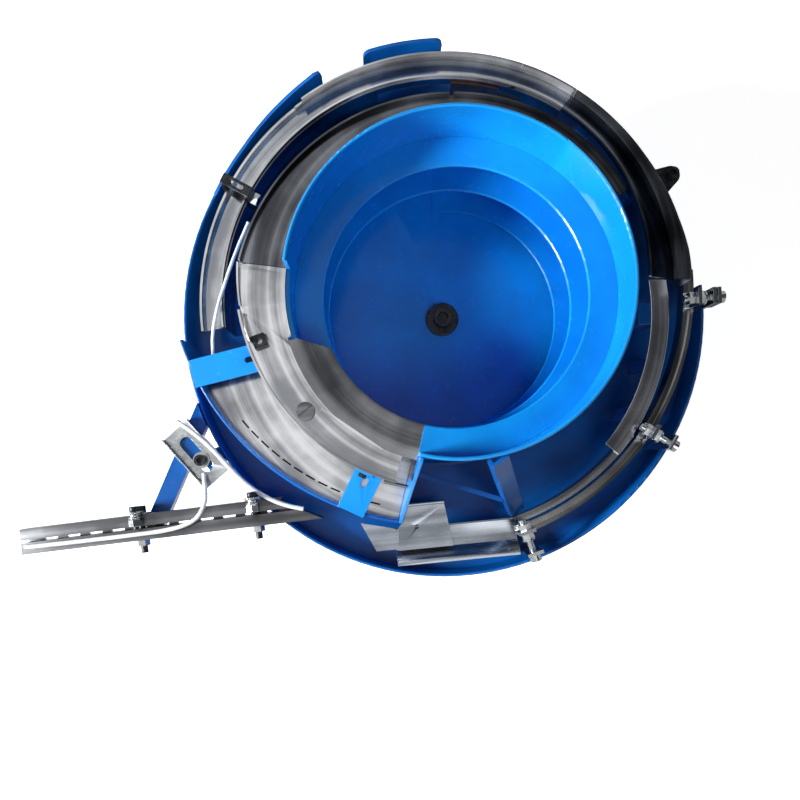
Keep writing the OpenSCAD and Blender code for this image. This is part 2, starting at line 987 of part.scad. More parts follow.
// Angle of the open butt joint where two bent sheets meet
butt = 0.03;

module lane_wall_left() {
  round_r = 5;
  r1 = lane_ro + seat;
  top = lane_z + lane_wall_h;
  color("#b4b8bc") {
    arc_strip(lane_c, r1, r1 + lip_t, turn_angle, wall_start - 2.2, lane_z + lane_foot, top);
    arc_strip(lane_c, r1, r1 + lip_t, wall_start - 2.3, wall_start - 0.1,
      lane_z + lane_foot, top - round_r);
    arc_strip(wall2_c, wall2_ri, wall2_ri + lip_t, seam_angle, turn_angle - butt,
      lane_z + lane_foot, top);
  }
}

// The upright sheet under the lane's inner edge has two openings; a plate
// with its own edge stands between them and sets what is let through.
windows = [[71, 79.5], [88, 107]];
window_drop = 4;
window_h = 17;
skirt_r = lane_ri - seat;

module lane_skirt() {
  color("#6e7378")
    difference() {
      union() {
        arc_strip(lane_c, skirt_r - lip_t, skirt_r, turn_angle, lane_from,
          drum_top + seat, lane_z + lane_fall(0));
        arc_strip(lane2_c, lane2_ri - seat - lip_t, lane2_ri - seat, seam_angle,
          turn_angle - butt, drum_top + seat, lane_z + lane_fall(0));
      }
      for (w = windows)
        translate([0, 0, lane_z - window_drop - window_h])
          linear_extrude(window_h)
            intersection() {
              difference() {
                circle(r = drum_r);
                circle(r = bowl_r);
              }
              wedge(w[0], w[1]);
            }
    }
}

module selector_plate() {
  color("#8a6a55")
    arc_strip(lane_c, skirt_r - 2 * lip_t - seat, skirt_r - lip_t - seat, 76, 88.5,
      lane_z - 22, lane_z);
}

clip_angle = 152;
clip_w = 9;
clip_t = 2.5;
clip_z = lane_z + 13;
clip_r1 = skirt_r - lip_t - 2 * seat - clip_t;
clip_r2 = lane_ro + lip_t + seat + clip_t;
clip_nut_z = lane_z + 1;

// Moves children to the clip's place on the left lane
module at_clip() {
  translate([lane_c[0], lane_c[1], 0])
    rotate([0, 0, clip_angle])
      children();
}

// A slotted strap over the lane, with a leg outside and a leg inside
module lane_clip() {
  color("#222427")
    at_clip()
      difference() {
        union() {
          translate([clip_r1, -clip_w / 2, clip_z])
            cube([clip_r2 - clip_r1, clip_w, clip_t]);
          translate([clip_r1, -clip_w / 2, lane_z - 16])
            cube([clip_t, clip_w, clip_z - lane_z + 17]);
          translate([clip_r2 - clip_t, -clip_w / 2, lane_z - 8])
            cube([clip_t, clip_w, clip_z - lane_z + 9]);
        }
        translate([lane_r, 0, clip_z])
          slot_cut(14, 4, 12);
      }
}

module washer_lane_right() {
  color("#85898d")
    intersection() {
      lane_sweep(lane2_c, lane2_ri, lane_w + 22, lane2_end, seam_angle - 0.05);
      inside_wall2();
    }
}

wall2_run = 2 * wall2_ri * sin((seam_angle - lane2_end) / 2);
// Share of the run from the free end, and share of the rise, along the wall's top
wall2_curve = [[-0.02, 1], [0.12, 0.83], [0.27, 0.5], [0.48, 0.24], [0.6, 0.12], [0.8, 0.03], [1, 0]];

// The wall's top stays level past the seam and then climbs to its free end
module lane_wall_right() {
  rise = lane2_wall_h - lane_wall_h;
  color("#5e6267")
    intersection() {
      arc_strip(wall2_c, wall2_ri, wall2_ri + lip_t, lane2_end, seam_angle - 0.05,
        lane_z - 14, lane_z + 2 * lane2_wall_h);
      translate([wall2_c[0], wall2_c[1], lane_z + lane_wall_h])
        rotate([0, 0, (seam_angle + lane2_end) / 2])
          rotate([90, 0, 90])
            linear_extrude(big)
              polygon(concat(
                [[wall2_run, -40], [-wall2_run, -40], [-wall2_run, rise]],
                [for (p = wall2_curve) [(p[0] - 0.5) * wall2_run, p[1] * rise]],
                [[wall2_run, 0]]
              ));
    }
}

// The steel strip that follows the right lane, cut off on the slant
module discharge_strip() {
  color("#77736c")
    difference() {
      arc_strip([0, 0], strip_ri, strip_ro, strip_end, 20, strip_z - sheet_t, strip_z);
      translate([lane2_c[0], lane2_c[1], 0])
        linear_extrude(big)
          wedge(lane2_end - 0.2, 60);
      rotate([0, 0, strip_end])
        translate([strip_ro, 0, strip_z])
          rotate([0, 0, 30])
            translate([-40, -80, -10])
              cube([40, 80, 20]);
    }
}

strip_z = lane_z - 4;
post_angles = [48, 26];

module lane_posts() {
  h = strip_z - 6 - drum_top;
  color("#0a5cb8") {
    for (a = post_angles)
      translate([lane2_c[0], lane2_c[1], drum_top])
        rotate([0, 0, a])
          translate([lane2_ri + lip_t, -6, 0])
            cube([14, 12, h]);
    translate([strip_ri - 11, -9, drum_top])
      cube([16, 19, strip_z - sheet_t - drum_top - seat]);
    for (a = [-14, -28])
      at_polar(strip_ri + 1, a, drum_top)
        translate([0, -6, 0])
          cube([strip_ro - strip_ri - 2, 12, strip_z - sheet_t - drum_top - seat]);
  }
}

rail_from = -70;
rail_to = 5;
inner_to = -36;
inner_w = 6;
rail_ri = rail_r - rail_w / 2;

module outer_rail() {
  color("#c4c8cc")
    difference() {
      arc_strip(rail_c, rail_ri, rail_r + rail_w / 2, rail_from, rail_to,
        rail_z - rail_h, rail_z);
      arc_strip(rail_c, rail_r - 1.2, rail_r + 1.6, rail_from - 1, rail_to + 1,
        rail_z - 2, rail_z + 1);
    }
}

module inner_rail() {
  color("#9a9ea3")
    arc_strip(rail_c, rail_ri - rail_slot - inner_w, rail_ri - rail_slot, rail_from,
      inner_to, rail_z - rail_h, rail_z);
}

// -------------------------------------------------------------------- tray

// Angles, about the tray's own centre, where its wall meets drum and gusset
tray_ro = tray_r + drum_wall;
function meet_angle(r, centre, reach) =
  atan2(centre[1], centre[0])
    + acos((reach * reach - centre * centre - r * r) / (2 * r * norm(centre)));
tray_start = meet_angle(tray_ro, tray_c, drum_ri - 0.5);
tray_end = 262;
gusset_angle = rim_cut_to + 0.2;

module tray_wall() {
  color("#0d78e0")
    difference() {
      arc_wall(tray_c, tray_r, tray_ro, tray_start, tray_end + 6, drum_top,
        floor_z + tray_wall_h);
      translate([0, 0, drum_top - 1])
        linear_extrude(big)
          wedge(gusset_angle - 0.1, gusset_angle + 30);
    }
}

module tray_floor() {
  slots = 12;
  color("#b3b6ba")
    translate([0, 0, lane_z - sheet_t])
      linear_extrude(sheet_t)
        difference() {
          intersection() {
            translate(tray_c)
              circle(r = tray_r - seat);
            wedge(191, gusset_angle - 0.1);
          }
          circle(r = bowl_r + seat);
          // the left lane's end, which the tray receives
          intersection() {
            translate(lane_c)
              difference() {
                circle(r = lane_ro + lip_t + seat);
                circle(r = lane_ri - lip_t - 2 * seat);
              }
            translate(lane_c)
              wedge(170, lane_from + 0.05);
          }
          // a row of stitch slots beside the outer wall
          for (i = [0 : slots - 1])
            translate(tray_c)
              rotate(221 + i * 3.2)
                translate([tray_r - 9, 0])
                  rotate(90)
                    square([9, 1.4], center = true);
        }
}

bridge_z = floor_z + tray_wall_h + seat;
bridge_t = 2.5;
bridge_angles = [194.5, 244.5];

// Radius of a circle about c at the angle a of the bowl's axis
function reach(c, r, a) =
  let (along = c[0] * cos(a) + c[1] * sin(a))
  along + sqrt(r * r - c * c + along * along);

// Angle about c of the point where the axis's ray at the angle a meets that circle
function own_angle(c, r, a) =
  let (p = reach(c, r, a) * [cos(a), sin(a)] - c)
  (atan2(p[1], p[0]) + 360) % 360;

// Radius of a bridge's inner end, just outside the deck's skirt
function bridge_r1(a) = reach(deck_c, deck_r + seat + lip_t, a) + 7 * seat;

module tray_bridges() {
  color("#0e8bf0")
    for (a = bridge_angles) {
      r1 = bridge_r1(a);
      r2 = reach(tray_c, tray_ro, a);
      rotate([0, 0, a])
        difference() {
          translate([r1, -bridge_w / 2, 0])
            union() {
              translate([0, 0, bridge_z])
                cube([r2 - r1, bridge_w, bridge_t]);
              translate([0, 0, bridge_z])
                cube([bridge_t, bridge_w, 16]);
            }
          translate([r1 + bridge_t + 7, 0, bridge_z])
            slot_cut(9, 5, 12);
          translate([r1 - 1, 4, bridge_z + 9])
            cube([6, 5, 12]);
        }
    }
}

// Radial plate that closes the tray, sloping from the bowl's rim to the tray's wall
module end_gusset() {
  r1 = bowl_r + seat;
  r2 = reach(tray_c, tray_ro, gusset_angle);
  color("#0f82ea")
    rotate([0, 0, gusset_angle])
      rotate([90, 0, 0])
        translate([0, 0, -drum_wall])
          linear_extrude(drum_wall)
            polygon([
              [r1, drum_top + seat], [r2, drum_top + seat], [r2, floor_z + tray_wall_h],
              [r1 + 6, floor_z + bowl_h - 6], [r1 + 3, floor_z + bowl_h - 1],
              [r1, floor_z + bowl_h - 1]
            ]);
}

module tie_rod() {
  from = 250;
  root = reach(deck_c, deck_r + seat + lip_t, from) * [cos(from), sin(from)] - [1.7, 2.6];
  run = root * [sin(gusset_angle), -cos(gusset_angle)];
  color("#e2e4e6")
    translate([root[0], root[1], floor_z + 0.45 * bowl_h])
      rotate([0, 90, gusset_angle - 270])
        cylinder(d = 3, h = run - 2 * seat, $fn = 32);
}

// Strut from the bowl's rim down to the chute's start: a folded angle with a foot
strut_angle = -77;
chute_z = floor_z + 12;
strut_top = [
  (bowl_r + 3) * cos(strut_angle), (bowl_r + 3) * sin(strut_angle), floor_z + bowl_h - 5
];
strut_foot = by_drum([64.5, -174.5, chute_z + 11]);

// The strut's two legs, grown by a clearance all round
module strut_legs(grow = 0) {
  side = [-5.6, -2.4, -3.5];
  bar_between(strut_top, strut_foot, 14 + 2 * grow, 3 + 2 * grow);
  bar_between(strut_top + side, strut_foot + side, 3 + 2 * grow, 8 + 2 * grow);
}

module rim_strut() {
  color("#0e84ec")
    difference() {
      union() {
        strut_legs();
        translate(strut_foot + [-7, -4, -3.6])
          cube([8.5, 7, 3]);
      }
      cylinder(r = bowl_r + seat, h = big);
      translate([0, 0, chute_z + lip_t + 2.5 + seat - 20])
        in_chute_plan()
          translate([-30, -40, 0])
            cube([60, 40 + chute_w / 2 + seat, 20]);
    }
}

module diagonal_rib() {
  color("#0a5cc0")
    difference() {
      bar_between(by_bowl([-27, -141, floor_z + 0.4 * bowl_h]),
        strut_foot + (strut_top - strut_foot) / 4 - [9.4, 0, 0], 4, 6);
      strut_legs(seat);
    }
}

// ---------------------------------------------------------- chute and track

chute_start = by_drum([66, -191]);
chute_fold = 9;
chute_flange = 4;

// Turns children to the chute's direction about its start, at their own height
module in_chute_plan() {
  translate([chute_start[0], chute_start[1], 0])
    rotate([0, 0, chute_angle])
      children();
}

// Places children in the chute's frame: -X along the flow, +Y towards the bowl
module in_chute() {
  translate([0, 0, chute_z])
    in_chute_plan()
      children();
}

// Folded section: floor, leaning outer wall and a narrow flange
module chute_section() {
  t = lip_t;
  w = chute_w / 2;
  polygon([
    [w, 0], [w, 4], [w - t, 4], [w - t, t], [-w, t], [-w - chute_fold, 8 + t],
    [-w - chute_fold - chute_flange, 8 + t], [-w - chute_fold - chute_flange, 8],
    [-w - chute_fold, 8], [-w, 0]
  ]);
}

tongue_len = 30;

module exit_chute() {
  color("#9fa3a8")
    in_chute() {
      rotate([90, 0, -90])
        mirror([1, 0, 0])
          linear_extrude(chute_len)
            chute_section();
      linear_extrude(lip_t)
        polygon([
          [-chute_len + 1, chute_w / 2], [-chute_len - tongue_len, chute_w / 2 + 8],
          [-chute_len - tongue_len + 12, -chute_w / 2 + 1], [-chute_len + 1, -chute_w / 2 + 1]
        ]);
    }
}

cover_z = 9;

// Flat cover that closes the chute's lower end, with a rolled top edge
module chute_cover() {
  inner = chute_w / 2 + seat;
  color("#7f8890")
    difference() {
      in_chute() difference() {
        union() {
          translate([-chute_len, 0, cover_z])
            linear_extrude(sheet_t)
              polygon([
                [2.5, -chute_w / 2 + 1], [51, -chute_w / 2 + 1], [46, 31], [14, 31],
                [8, 16], [4, 12], [2.5, 4]
              ]);
          translate([-chute_len + 14, 31, cover_z + 2])
            rotate([0, 90, 0])
              cylinder(d = 4, h = 32, $fn = 32);
          // hook over the chute's inner lip
          translate([-chute_len + 6, inner, 0])
            cube([36, 1.5, cover_z + 1]);
        }
        translate([-chute_len + 20, 11, cover_z - 1])
          cylinder(d = 4, h = 9, $fn = 32);
      }
      // stays clear of the gusset beside the chute's end
      rotate([0, 0, gusset_angle])
        translate([bowl_r, -big, 0])
          cube([reach(tray_c, tray_ro, gusset_angle) + 2 - bowl_r, big + drum_wall + 1.2,
            big]);
    }
}

// Angle of each clamp, and radius of the face its bolt's head bears on
clamps = [[3, drum_ri + 4], [-30.5, drum_ri - 5], [-70, drum_ri - 7]];
clamp_w = 14;
clamp_t = 3;
clamp_bolt_z = rail_z + 11;

// Rail bracket and rim tab of each clamp, with the bolt that spaces them
module clamp_brackets() {
  color("#aab0b6")
    for (c = clamps) {
      rr = clamp_rail_r(c[0]);
      inside = min(c[1], sqrt(drum_ri * drum_ri - clamp_w * clamp_w / 4) - seat);
      rotate([0, 0, c[0]])
        difference() {
          union() {
            translate([rr - 6, -clamp_w / 2, rail_z + seat])
              cube([8, clamp_w, clamp_t]);
            translate([rr + 2 - clamp_t, -clamp_w / 2, rail_z + seat])
              cube([clamp_t, clamp_w, 20]);
            translate([inside - clamp_t, -clamp_w / 2, drum_top + seat])
              cube([clamp_t, clamp_w, rail_z + 20 - drum_top]);
            translate([inside - clamp_t, -clamp_w / 2, rail_z + 2])
              cube([c[1] - inside + clamp_t, clamp_w, clamp_t]);
            translate([c[1] - clamp_t, -clamp_w / 2, rail_z + 2])
              cube([clamp_t, clamp_w, 18]);
          }
          translate([0, 0, clamp_bolt_z])
            rotate([0, 90, 0])
              cylinder(d = m6 + 0.4, h = big, $fn = 32);
        }
    }
}

function clamp_rail_r(a) = min(reach(rail_c, rail_r, a), drum_ri - 14);

// Moves children onto each clamp's bolt axis, pointing away from the bowl
module each_clamp_bolt() {
  for (c = clamps)
    rotate([0, 0, c[0]])
      translate([clamp_rail_r(c[0]) + 2, 0, clamp_bolt_z])
        rotate([0, 90, 0])
          children();
}

nut_place = clamp_t + m6_nut_h;

module clamp_bolts() {
  color("#c9cdd1")
    for (c = clamps)
      rotate([0, 0, c[0]])
        translate([c[1] + seat / 2, 0, clamp_bolt_z])
          rotate([0, 90, 0])
            socket_screw(m6, c[1] - clamp_rail_r(c[0]) - 2 + nut_place + 4);
}

ear_angle = 31.5;
ear_z = floor_z + rim_h + 8;
ear_t = 4;
ear_w = 23;
ear_r = drum_r - 1.5;
ear_root = drum_ri - 16;
lane_clear = wall2_ri + lip_t + seat;

// Lug on an upright leg that stands in the drum, beside the lane's wall
module rim_ear() {
  color("#232527")
    difference() {
      rotate([0, 0, ear_angle])
        difference() {
          union() {
            translate([0, 0, ear_z])
              linear_extrude(ear_t)
                union() {
                  polygon([
                    [ear_root, -ear_w / 2], [drum_ri - 8, -ear_w / 2], [ear_r + 2, -8],
                    [ear_r + 2, 8], [drum_ri - 8, ear_w / 2], [ear_root, ear_w / 2]
                  ]);
                  translate([ear_r, 0])
                    circle(r = 8.2, $fn = 64);
                }
            translate([ear_r - 10, -ear_w / 2 + 3, drum_top + seat])
              cube([ear_t, ear_w - 6, ear_z - drum_top]);
          }
          translate([ear_r, 0, ear_z - 1])
            cylinder(d = m6 + 0.6, h = 9, $fn = 32);
        }
      translate([wall2_c[0], wall2_c[1], 0])
        cylinder(r = lane_clear, h = big);
    }
}

track_start = by_drum([-109, -169.2]);
bar_gap_z = floor_z + rim_h + 2;
track_w = 2 * bar_w + track_slot;

// Places children in the track's frame: -X along the flow, Y across, Z = 0 under it
module in_track() {
  translate([track_start[0], track_start[1], bar_gap_z])
    rotate([0, 0, track_angle])
      children();
}

bolt_stations = [-58, -160];

// Two bars on a slotted base strip; the first end is cut on the slant
module linear_track() {
  slot_pitch = 20;
  color("#b6babf")
    in_track()
      difference() {
        union() {
          translate([-track_len, -track_w / 2, 0])
            cube([track_len, track_w, track_base_t]);
          for (s = [0, 1])
            translate([-track_len, -track_w / 2 + s * (bar_w + track_slot), track_base_t - 0.5])
              cube([track_len, bar_w, bar_h + 0.5]);
        }
        for (x = [-track_len + slot_pitch : slot_pitch : -slot_pitch])
          translate([x, 0, 0])
            slot_cut(12, track_slot, 12);
        translate([0, -track_w / 2, -1])
          rotate([0, 0, 62])
            translate([0, -40, 0])
              cube([60, 80, 60]);
        for (x = bolt_stations)
          translate([x, 0, track_base_t + bar_h / 2 - 1])
            rotate([90, 0, 0])
              cylinder(d = m6 + 2 * seat, h = big, center = true, $fn = 32);
      }
}

// Moves children onto each cross bolt's axis, at the track's upper side
module each_track_bolt() {
  in_track()
    for (x = bolt_stations)
      translate([x, track_w / 2 + seat, track_base_t + bar_h / 2 - 1])
        rotate([-90, 0, 0])
          children();
}

arm_t = 10;
arm_w = 16;

module track_arm() {
  z = bar_gap_z - arm_t / 2 - seat;
  color("#0a6ad0")
    difference() {
      union() {
        bar_between(by_drum([-208, -66, z]), by_drum([-262, -192, z]), arm_w, arm_t);
        bar_between(by_drum([-192, -118, z]), by_drum([-214, -134, z]), 14, arm_t);
        bar_between(by_drum([-206, -126, z]), by_drum([-238, -122, z]), 14, arm_t);
      }
      cylinder(r = drum_r + seat, h = big);
      at_bracket()
        translate([bracket_hole[0], bracket_hole[1], -2 * arm_t])
          cylinder(d = m6 + 4 * seat, h = 3 * arm_t, $fn = 32);
    }
}

bracket_z = bar_gap_z;
bracket_t = 2.5;
bracket_len = 58;
bracket_w = 30;
bracket_c = by_drum([-221, -124]);
// Place of the bracket's screw in its slot
bracket_hole = [7, -1];

// Moves children to the bracket's middle, +X down along the bracket
module at_bracket() {
  translate([bracket_c[0], bracket_c[1], bracket_z])
    rotate([0, 0, -48])
      children();
}

// Slotted channel plate that carries the upper air tube
module sensor_bracket() {
  color("#e4e6e8")
    at_bracket()
      difference() {
        union() {
          translate([-bracket_len / 2, -bracket_w / 2, 0])
            cube([bracket_len, bracket_w, bracket_t]);
          for (y = [-bracket_w / 2, bracket_w / 2 - 1.5])
            translate([-bracket_len / 2, y, 0])
              cube([bracket_len, 1.5, 8]);
        }
        translate([0, -1, 0])
          slot_cut(38, 11, 12);
      }
}

// Black screws: the ear's, the bracket's, the track's cross bolts and the bridges'
module black_screws() {
  color("#17181a") {
    for (a = bridge_angles)
      at_polar(bridge_r1(a) + bridge_t + seat, a, bridge_z + 9)
        translate([0, -4, 0])
          rotate([0, 90, 0])
            cylinder(d = 7, h = 3.5, $fn = 32);
    at_polar(ear_r, ear_angle, ear_z + ear_t + seat)
      socket_screw(m6, 12);
    at_bracket()
      translate([bracket_hole[0], bracket_hole[1], bracket_t + m6_washer_t + 2 * seat])
        socket_screw(m6, 11);
    each_track_bolt()
      translate([0, 0, m6_washer_t + seat])
        socket_screw(m6, track_w + m6_nut_h + 8);
  }
}

module m6_nuts() {
  color("#d7dadd") {
    each_clamp_bolt() {
      translate([0, 0, seat])
        hex_nut(m6_nut_af, m6_nut_h, m6_nut_bore);
      translate([0, 0, -clamp_t - seat - m6_nut_h])
        hex_nut(m6_nut_af, m6_nut_h, m6_nut_bore);
    }
    each_track_bolt()
      translate([0, 0, -track_w - 3 * seat - m6_nut_h])
        hex_nut(m6_nut_af, m6_nut_h, m6_nut_bore);
    at_clip()
      translate([clip_r1 - seat, 0, clip_nut_z])
        rotate([0, -90, 0])
          hex_nut(m6_nut_af, m6_nut_h, m6_nut_bore);
  }
}

module m6_washers() {
  color("#c4c8cc") {
    each_clamp_bolt()
      translate([0, 0, m6_nut_h + 2 * seat])
        plain_washer(m6_washer_d, m6_nut_bore, m6_washer_t);
    each_track_bolt()
      plain_washer(1.5 * m6_washer_d, m6_nut_bore, m6_washer_t);
    at_bracket()
      translate([bracket_hole[0], bracket_hole[1], bracket_t + seat])
        plain_washer(1.25 * m6_washer_d, m6_nut_bore, m6_washer_t);
  }
}

// Air lines: [points along each route], all held by the parts they run along
upper_route = [
  [-234, -96, 236], [-222, -104, 238], [-205, -118, 239], [-190, -134, 239],
  [-174, -150, 238], [-156, -162, 237], [-138, -169, 237], [-124, -172, 237.4]
];
lower_route = [
  [-214.5, -142, 222.7], [-213, -149, 226.3], [-211, -157, 230.5], [-210, -166, 236],
  [-212.5, -174, 238], [-218, -181, 237.6], [-228, -186.4, 237.2], [-242, -190.2, 237.2], [-266, -193.8, 237.2],
  [-300, -198, 237.2], [-340, -202.6, 237.2], [-366, -205.4, 237.2]
];
lane_route = [
  [-168, 70, 256], [-178, 50, 252], [-190, 22, 246], [-199, -2, 240], [-203.5, -22, 235],
  [-204, -34, 232.4], [-203.5, -46, lane_z + tube_d / 2 - 0.4]
];
module air_tubes() {
  color("#e9ebec") {
    tube([for (p = upper_route) by_drum(p)], tube_d);
    tube([for (p = lower_route) by_drum(p)], tube_d);
    tube([for (p = lane_route) by_drum(p)], tube_d - 1);
  }
}

// ------------------------------------------------------------------ output

rubber_feet();
foot_inserts();
foot_studs();
base_casting();
cable_gland();
lower_spring_clamps();
lower_spring_spacers();
lower_spring_bolts();
leaf_springs();
magnet_bracket();
magnet_core();
magnet_coil();
upper_spring_clamps();
upper_spring_spacers();
upper_spring_bolts();
armature();
top_plate();
inner_bowl();
spiral_ledge();
centre_washer();
centre_bolt();
outer_drum();
return_apron();
exit_deck();
deck_skirt();
deck_guide();
deck_screw();
deck_blade();
blade_nut();
pin_lane();
washer_lane_left();
lane_wall_left();
lane_skirt();
selector_plate();
lane_clip();
washer_lane_right();
lane_wall_right();
discharge_strip();
lane_posts();
tray_floor();
tray_wall();
tray_bridges();
end_gusset();
tie_rod();
rim_strut();
diagonal_rib();
outer_rail();
inner_rail();
exit_chute();
chute_cover();
clamp_brackets();
clamp_bolts();
rim_ear();
linear_track();
track_arm();
sensor_bracket();
black_screws();
m6_nuts();
m6_washers();
air_tubes();
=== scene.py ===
# %% [markdown]
# # A vibratory bowl feeder
# A bowl feeder shakes loose parts up a spiral ledge and sorts them on the way
# out. This one has a coated blue bowl inside a blue drum, with polished steel
# lanes bent round it. The CAD model gives every plate its shape. Here each
# surface gets its finish, and the pieces that CAD draws plainly are remade.

# %% Load the CAD model as a fixed frame
import json
import math
import bmesh
import bpy
from mathutils import Matrix, Vector


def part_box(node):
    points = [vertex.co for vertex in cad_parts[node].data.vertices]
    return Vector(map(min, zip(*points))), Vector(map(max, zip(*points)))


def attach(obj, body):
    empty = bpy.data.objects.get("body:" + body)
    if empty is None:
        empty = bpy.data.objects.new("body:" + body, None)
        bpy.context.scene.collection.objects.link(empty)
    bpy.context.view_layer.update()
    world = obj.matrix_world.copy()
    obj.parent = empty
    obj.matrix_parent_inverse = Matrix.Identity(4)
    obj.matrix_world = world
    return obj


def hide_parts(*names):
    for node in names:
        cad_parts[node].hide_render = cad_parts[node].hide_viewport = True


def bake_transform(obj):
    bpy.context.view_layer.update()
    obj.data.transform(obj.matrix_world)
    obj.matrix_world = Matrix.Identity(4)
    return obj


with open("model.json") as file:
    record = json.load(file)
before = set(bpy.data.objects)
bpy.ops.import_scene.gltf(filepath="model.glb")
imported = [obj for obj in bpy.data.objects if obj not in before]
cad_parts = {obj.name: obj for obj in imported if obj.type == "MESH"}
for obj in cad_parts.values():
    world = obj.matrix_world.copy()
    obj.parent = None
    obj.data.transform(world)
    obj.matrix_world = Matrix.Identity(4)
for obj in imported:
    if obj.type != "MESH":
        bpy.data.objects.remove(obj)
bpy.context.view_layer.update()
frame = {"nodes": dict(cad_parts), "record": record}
nodes = frame["nodes"]
MM = 0.001

# %% [markdown]
# ## The camera
# The feeder is seen from straight above, by someone who holds the camera over
# its open side. A lens shift frames it without tilting the camera, so that the
# upright walls keep leaning away from the same point.

# %% Camera over the bowl
CAMERA_MM = (-60.7, -128.1, 793)
LENS_MM = 28.8
camera_data = bpy.data.cameras.new("Camera")
camera_data.sensor_width = 36
camera_data.lens = LENS_MM
camera_data.shift_x = 0.0295
camera_data.shift_y = 0.0729
camera = bpy.data.objects.new("Camera", camera_data)
camera.location = Vector(CAMERA_MM) * MM
bpy.context.scene.collection.objects.link(camera)
bpy.context.scene.camera = camera
bpy.context.scene.view_settings.view_transform = "Standard"
print("camera", CAMERA_MM[2], "mm up, with a lens of", LENS_MM, "mm")

# %% [markdown]
# ## Helpers for materials
# A finish is a small tree of shader nodes. One function turns a hex colour into
# the linear numbers that Blender mixes, and one adds a node with its settings
# and links. Each material then reads like a recipe: first where the pattern
# lies, then what it looks like, and last the shader that takes it all.

# %% Colour and node helpers
FACTOR, FIRST, SECOND = 0, 6, 7  # the inputs of a Mix node that mixes colours


def linear(hex_colour):
    """An sRGB hex colour as linear RGBA."""
    parts = [int(hex_colour[i : i + 2], 16) / 255 for i in (1, 3, 5)]
    return [c / 12.92 if c <= 0.04045 else ((c + 0.055) / 1.055) ** 2.4 for c in parts] + [1]


def add(tree, kind, links=None, **settings):
    """Adds a shader node.

    A link's value is a number, a hex colour, another node's output, or a node,
    which gives the first of its outputs that is in use.
    """
    made = tree.nodes.new(kind)
    for key, value in settings.items():
        setattr(made, key, value)
    for socket, source in (links or {}).items():
        if isinstance(source, bpy.types.Node):
            source = next(output for output in source.outputs if output.enabled)
        if isinstance(source, bpy.types.NodeSocket):
            tree.links.new(source, made.inputs[socket])
        else:
            made.inputs[socket].default_value = linear(source) if isinstance(source, str) else source
    return made


def new_material(name):
    """An empty material, its node tree, and the object's own coordinates in it."""
    made = bpy.data.materials.new(name)
    made.use_nodes = True
    made.node_tree.nodes.clear()
    return made, made.node_tree, add(made.node_tree, "ShaderNodeTexCoord").outputs["Object"]


def lumps(size_mm):
    """The scale of a noise whose lumps are about size_mm across."""
    return 1 / (size_mm * MM)


# %% [markdown]
# ## Sprayed polyurethane
# The bowl and drum are coated with a tough blue polyurethane, so that steel
# parts slide on it quietly. Sprayed thick, it levels into a gloss with long,
# shallow waves and a faint orange peel about 2 mm across, drawn a little
# coarser here so that it shows. Sliding parts leave duller, paler tracks.

# %% Blue coating
# how big its clouds of tone, its tracks, its orange peel and its waves are
TONE_MM, TRACKS_MM, PEEL_MM, LEVEL_MM = 70, 12, 3.2, 28


def coating(name, base, deep, scuffed, gloss=0.26):
    """A glossy sprayed coat of two close tones, with paler and duller tracks."""
    made, tree, where = new_material(name)
    cloud = add(tree, "ShaderNodeTexNoise", {"Vector": where, "Scale": lumps(TONE_MM), "Detail": 3})
    cloud = add(tree, "ShaderNodeMapRange", {
        "Value": cloud, "From Min": 0.35, "From Max": 0.65}, interpolation_type="SMOOTHSTEP")
    tracks = add(tree, "ShaderNodeTexNoise", {
        "Vector": where, "Scale": lumps(TRACKS_MM), "Detail": 4, "Roughness": 0.6})
    tracks = add(tree, "ShaderNodeMapRange", {
        "Value": tracks, "From Min": 0.55, "From Max": 0.85}, interpolation_type="SMOOTHSTEP")
    paler = add(tree, "ShaderNodeMapRange", {
        "Value": tracks, "To Max": 0.13}, interpolation_type="SMOOTHSTEP")
    duller = add(tree, "ShaderNodeMapRange", {
        "Value": tracks, "To Min": gloss, "To Max": gloss + 0.22}, interpolation_type="SMOOTHSTEP")
    body = add(tree, "ShaderNodeMix", {FACTOR: cloud, FIRST: deep, SECOND: base}, data_type="RGBA")
    colour = add(tree, "ShaderNodeMix", {FACTOR: paler, FIRST: body, SECOND: scuffed}, data_type="RGBA")
    peel = add(tree, "ShaderNodeTexNoise", {"Vector": where, "Scale": lumps(PEEL_MM), "Detail": 1})
    peel = add(tree, "ShaderNodeBump", {"Height": peel, "Distance": 0.05 * MM, "Strength": 0.55})
    waves = add(tree, "ShaderNodeTexNoise", {"Vector": where, "Scale": lumps(LEVEL_MM), "Detail": 1})
    waves = add(tree, "ShaderNodeBump", {
        "Height": waves, "Distance": 0.25 * MM, "Strength": 0.5, "Normal": peel})
    shader = add(tree, "ShaderNodeBsdfPrincipled", {
        "Base Color": colour, "Roughness": duller, "Normal": waves, "IOR": 1.5,
        "Specular IOR Level": 0.28, "Coat Weight": 0.14, "Coat Roughness": 0.1})
    add(tree, "ShaderNodeOutputMaterial", {"Surface": shader})
    return made


bowl_blue = coating("sprayed polyurethane blue", "#109ff7", "#0d8ee4", "#58b2ee")
# the drum's blue is the bowl's paint drawn darker, as painted shade
drum_blue_painted_shade = coating("sprayed polyurethane blue, drum, darker as painted shade", "#0a66bc", "#064f9a", "#3f86c0", 0.3)
bridge_blue = coating("sprayed polyurethane light blue", "#0990ec", "#0784de", "#5cb4ee", 0.24)
print("coatings:", [made.name for made in (bowl_blue, drum_blue_painted_shade, bridge_blue)])

# %% [markdown]
# ## Where the lines of polish lie
# The lanes are cut from stainless sheet, polished by hand along the way that
# parts travel. Polishing leaves fine lines along the run. The lines follow
# circles round the bowl, so the noise is stretched: it reads the distance from
# the bowl's axis finely and the position only coarsely. On a straight piece it
# reads the distance across that piece instead.

# %% Coordinates along the run
LINE_MM = 0.45  # the real lines are finer, and are drawn this coarse so that they show
RUN = 14  # in a metre of its run a line changes this often, so about every 70 mm


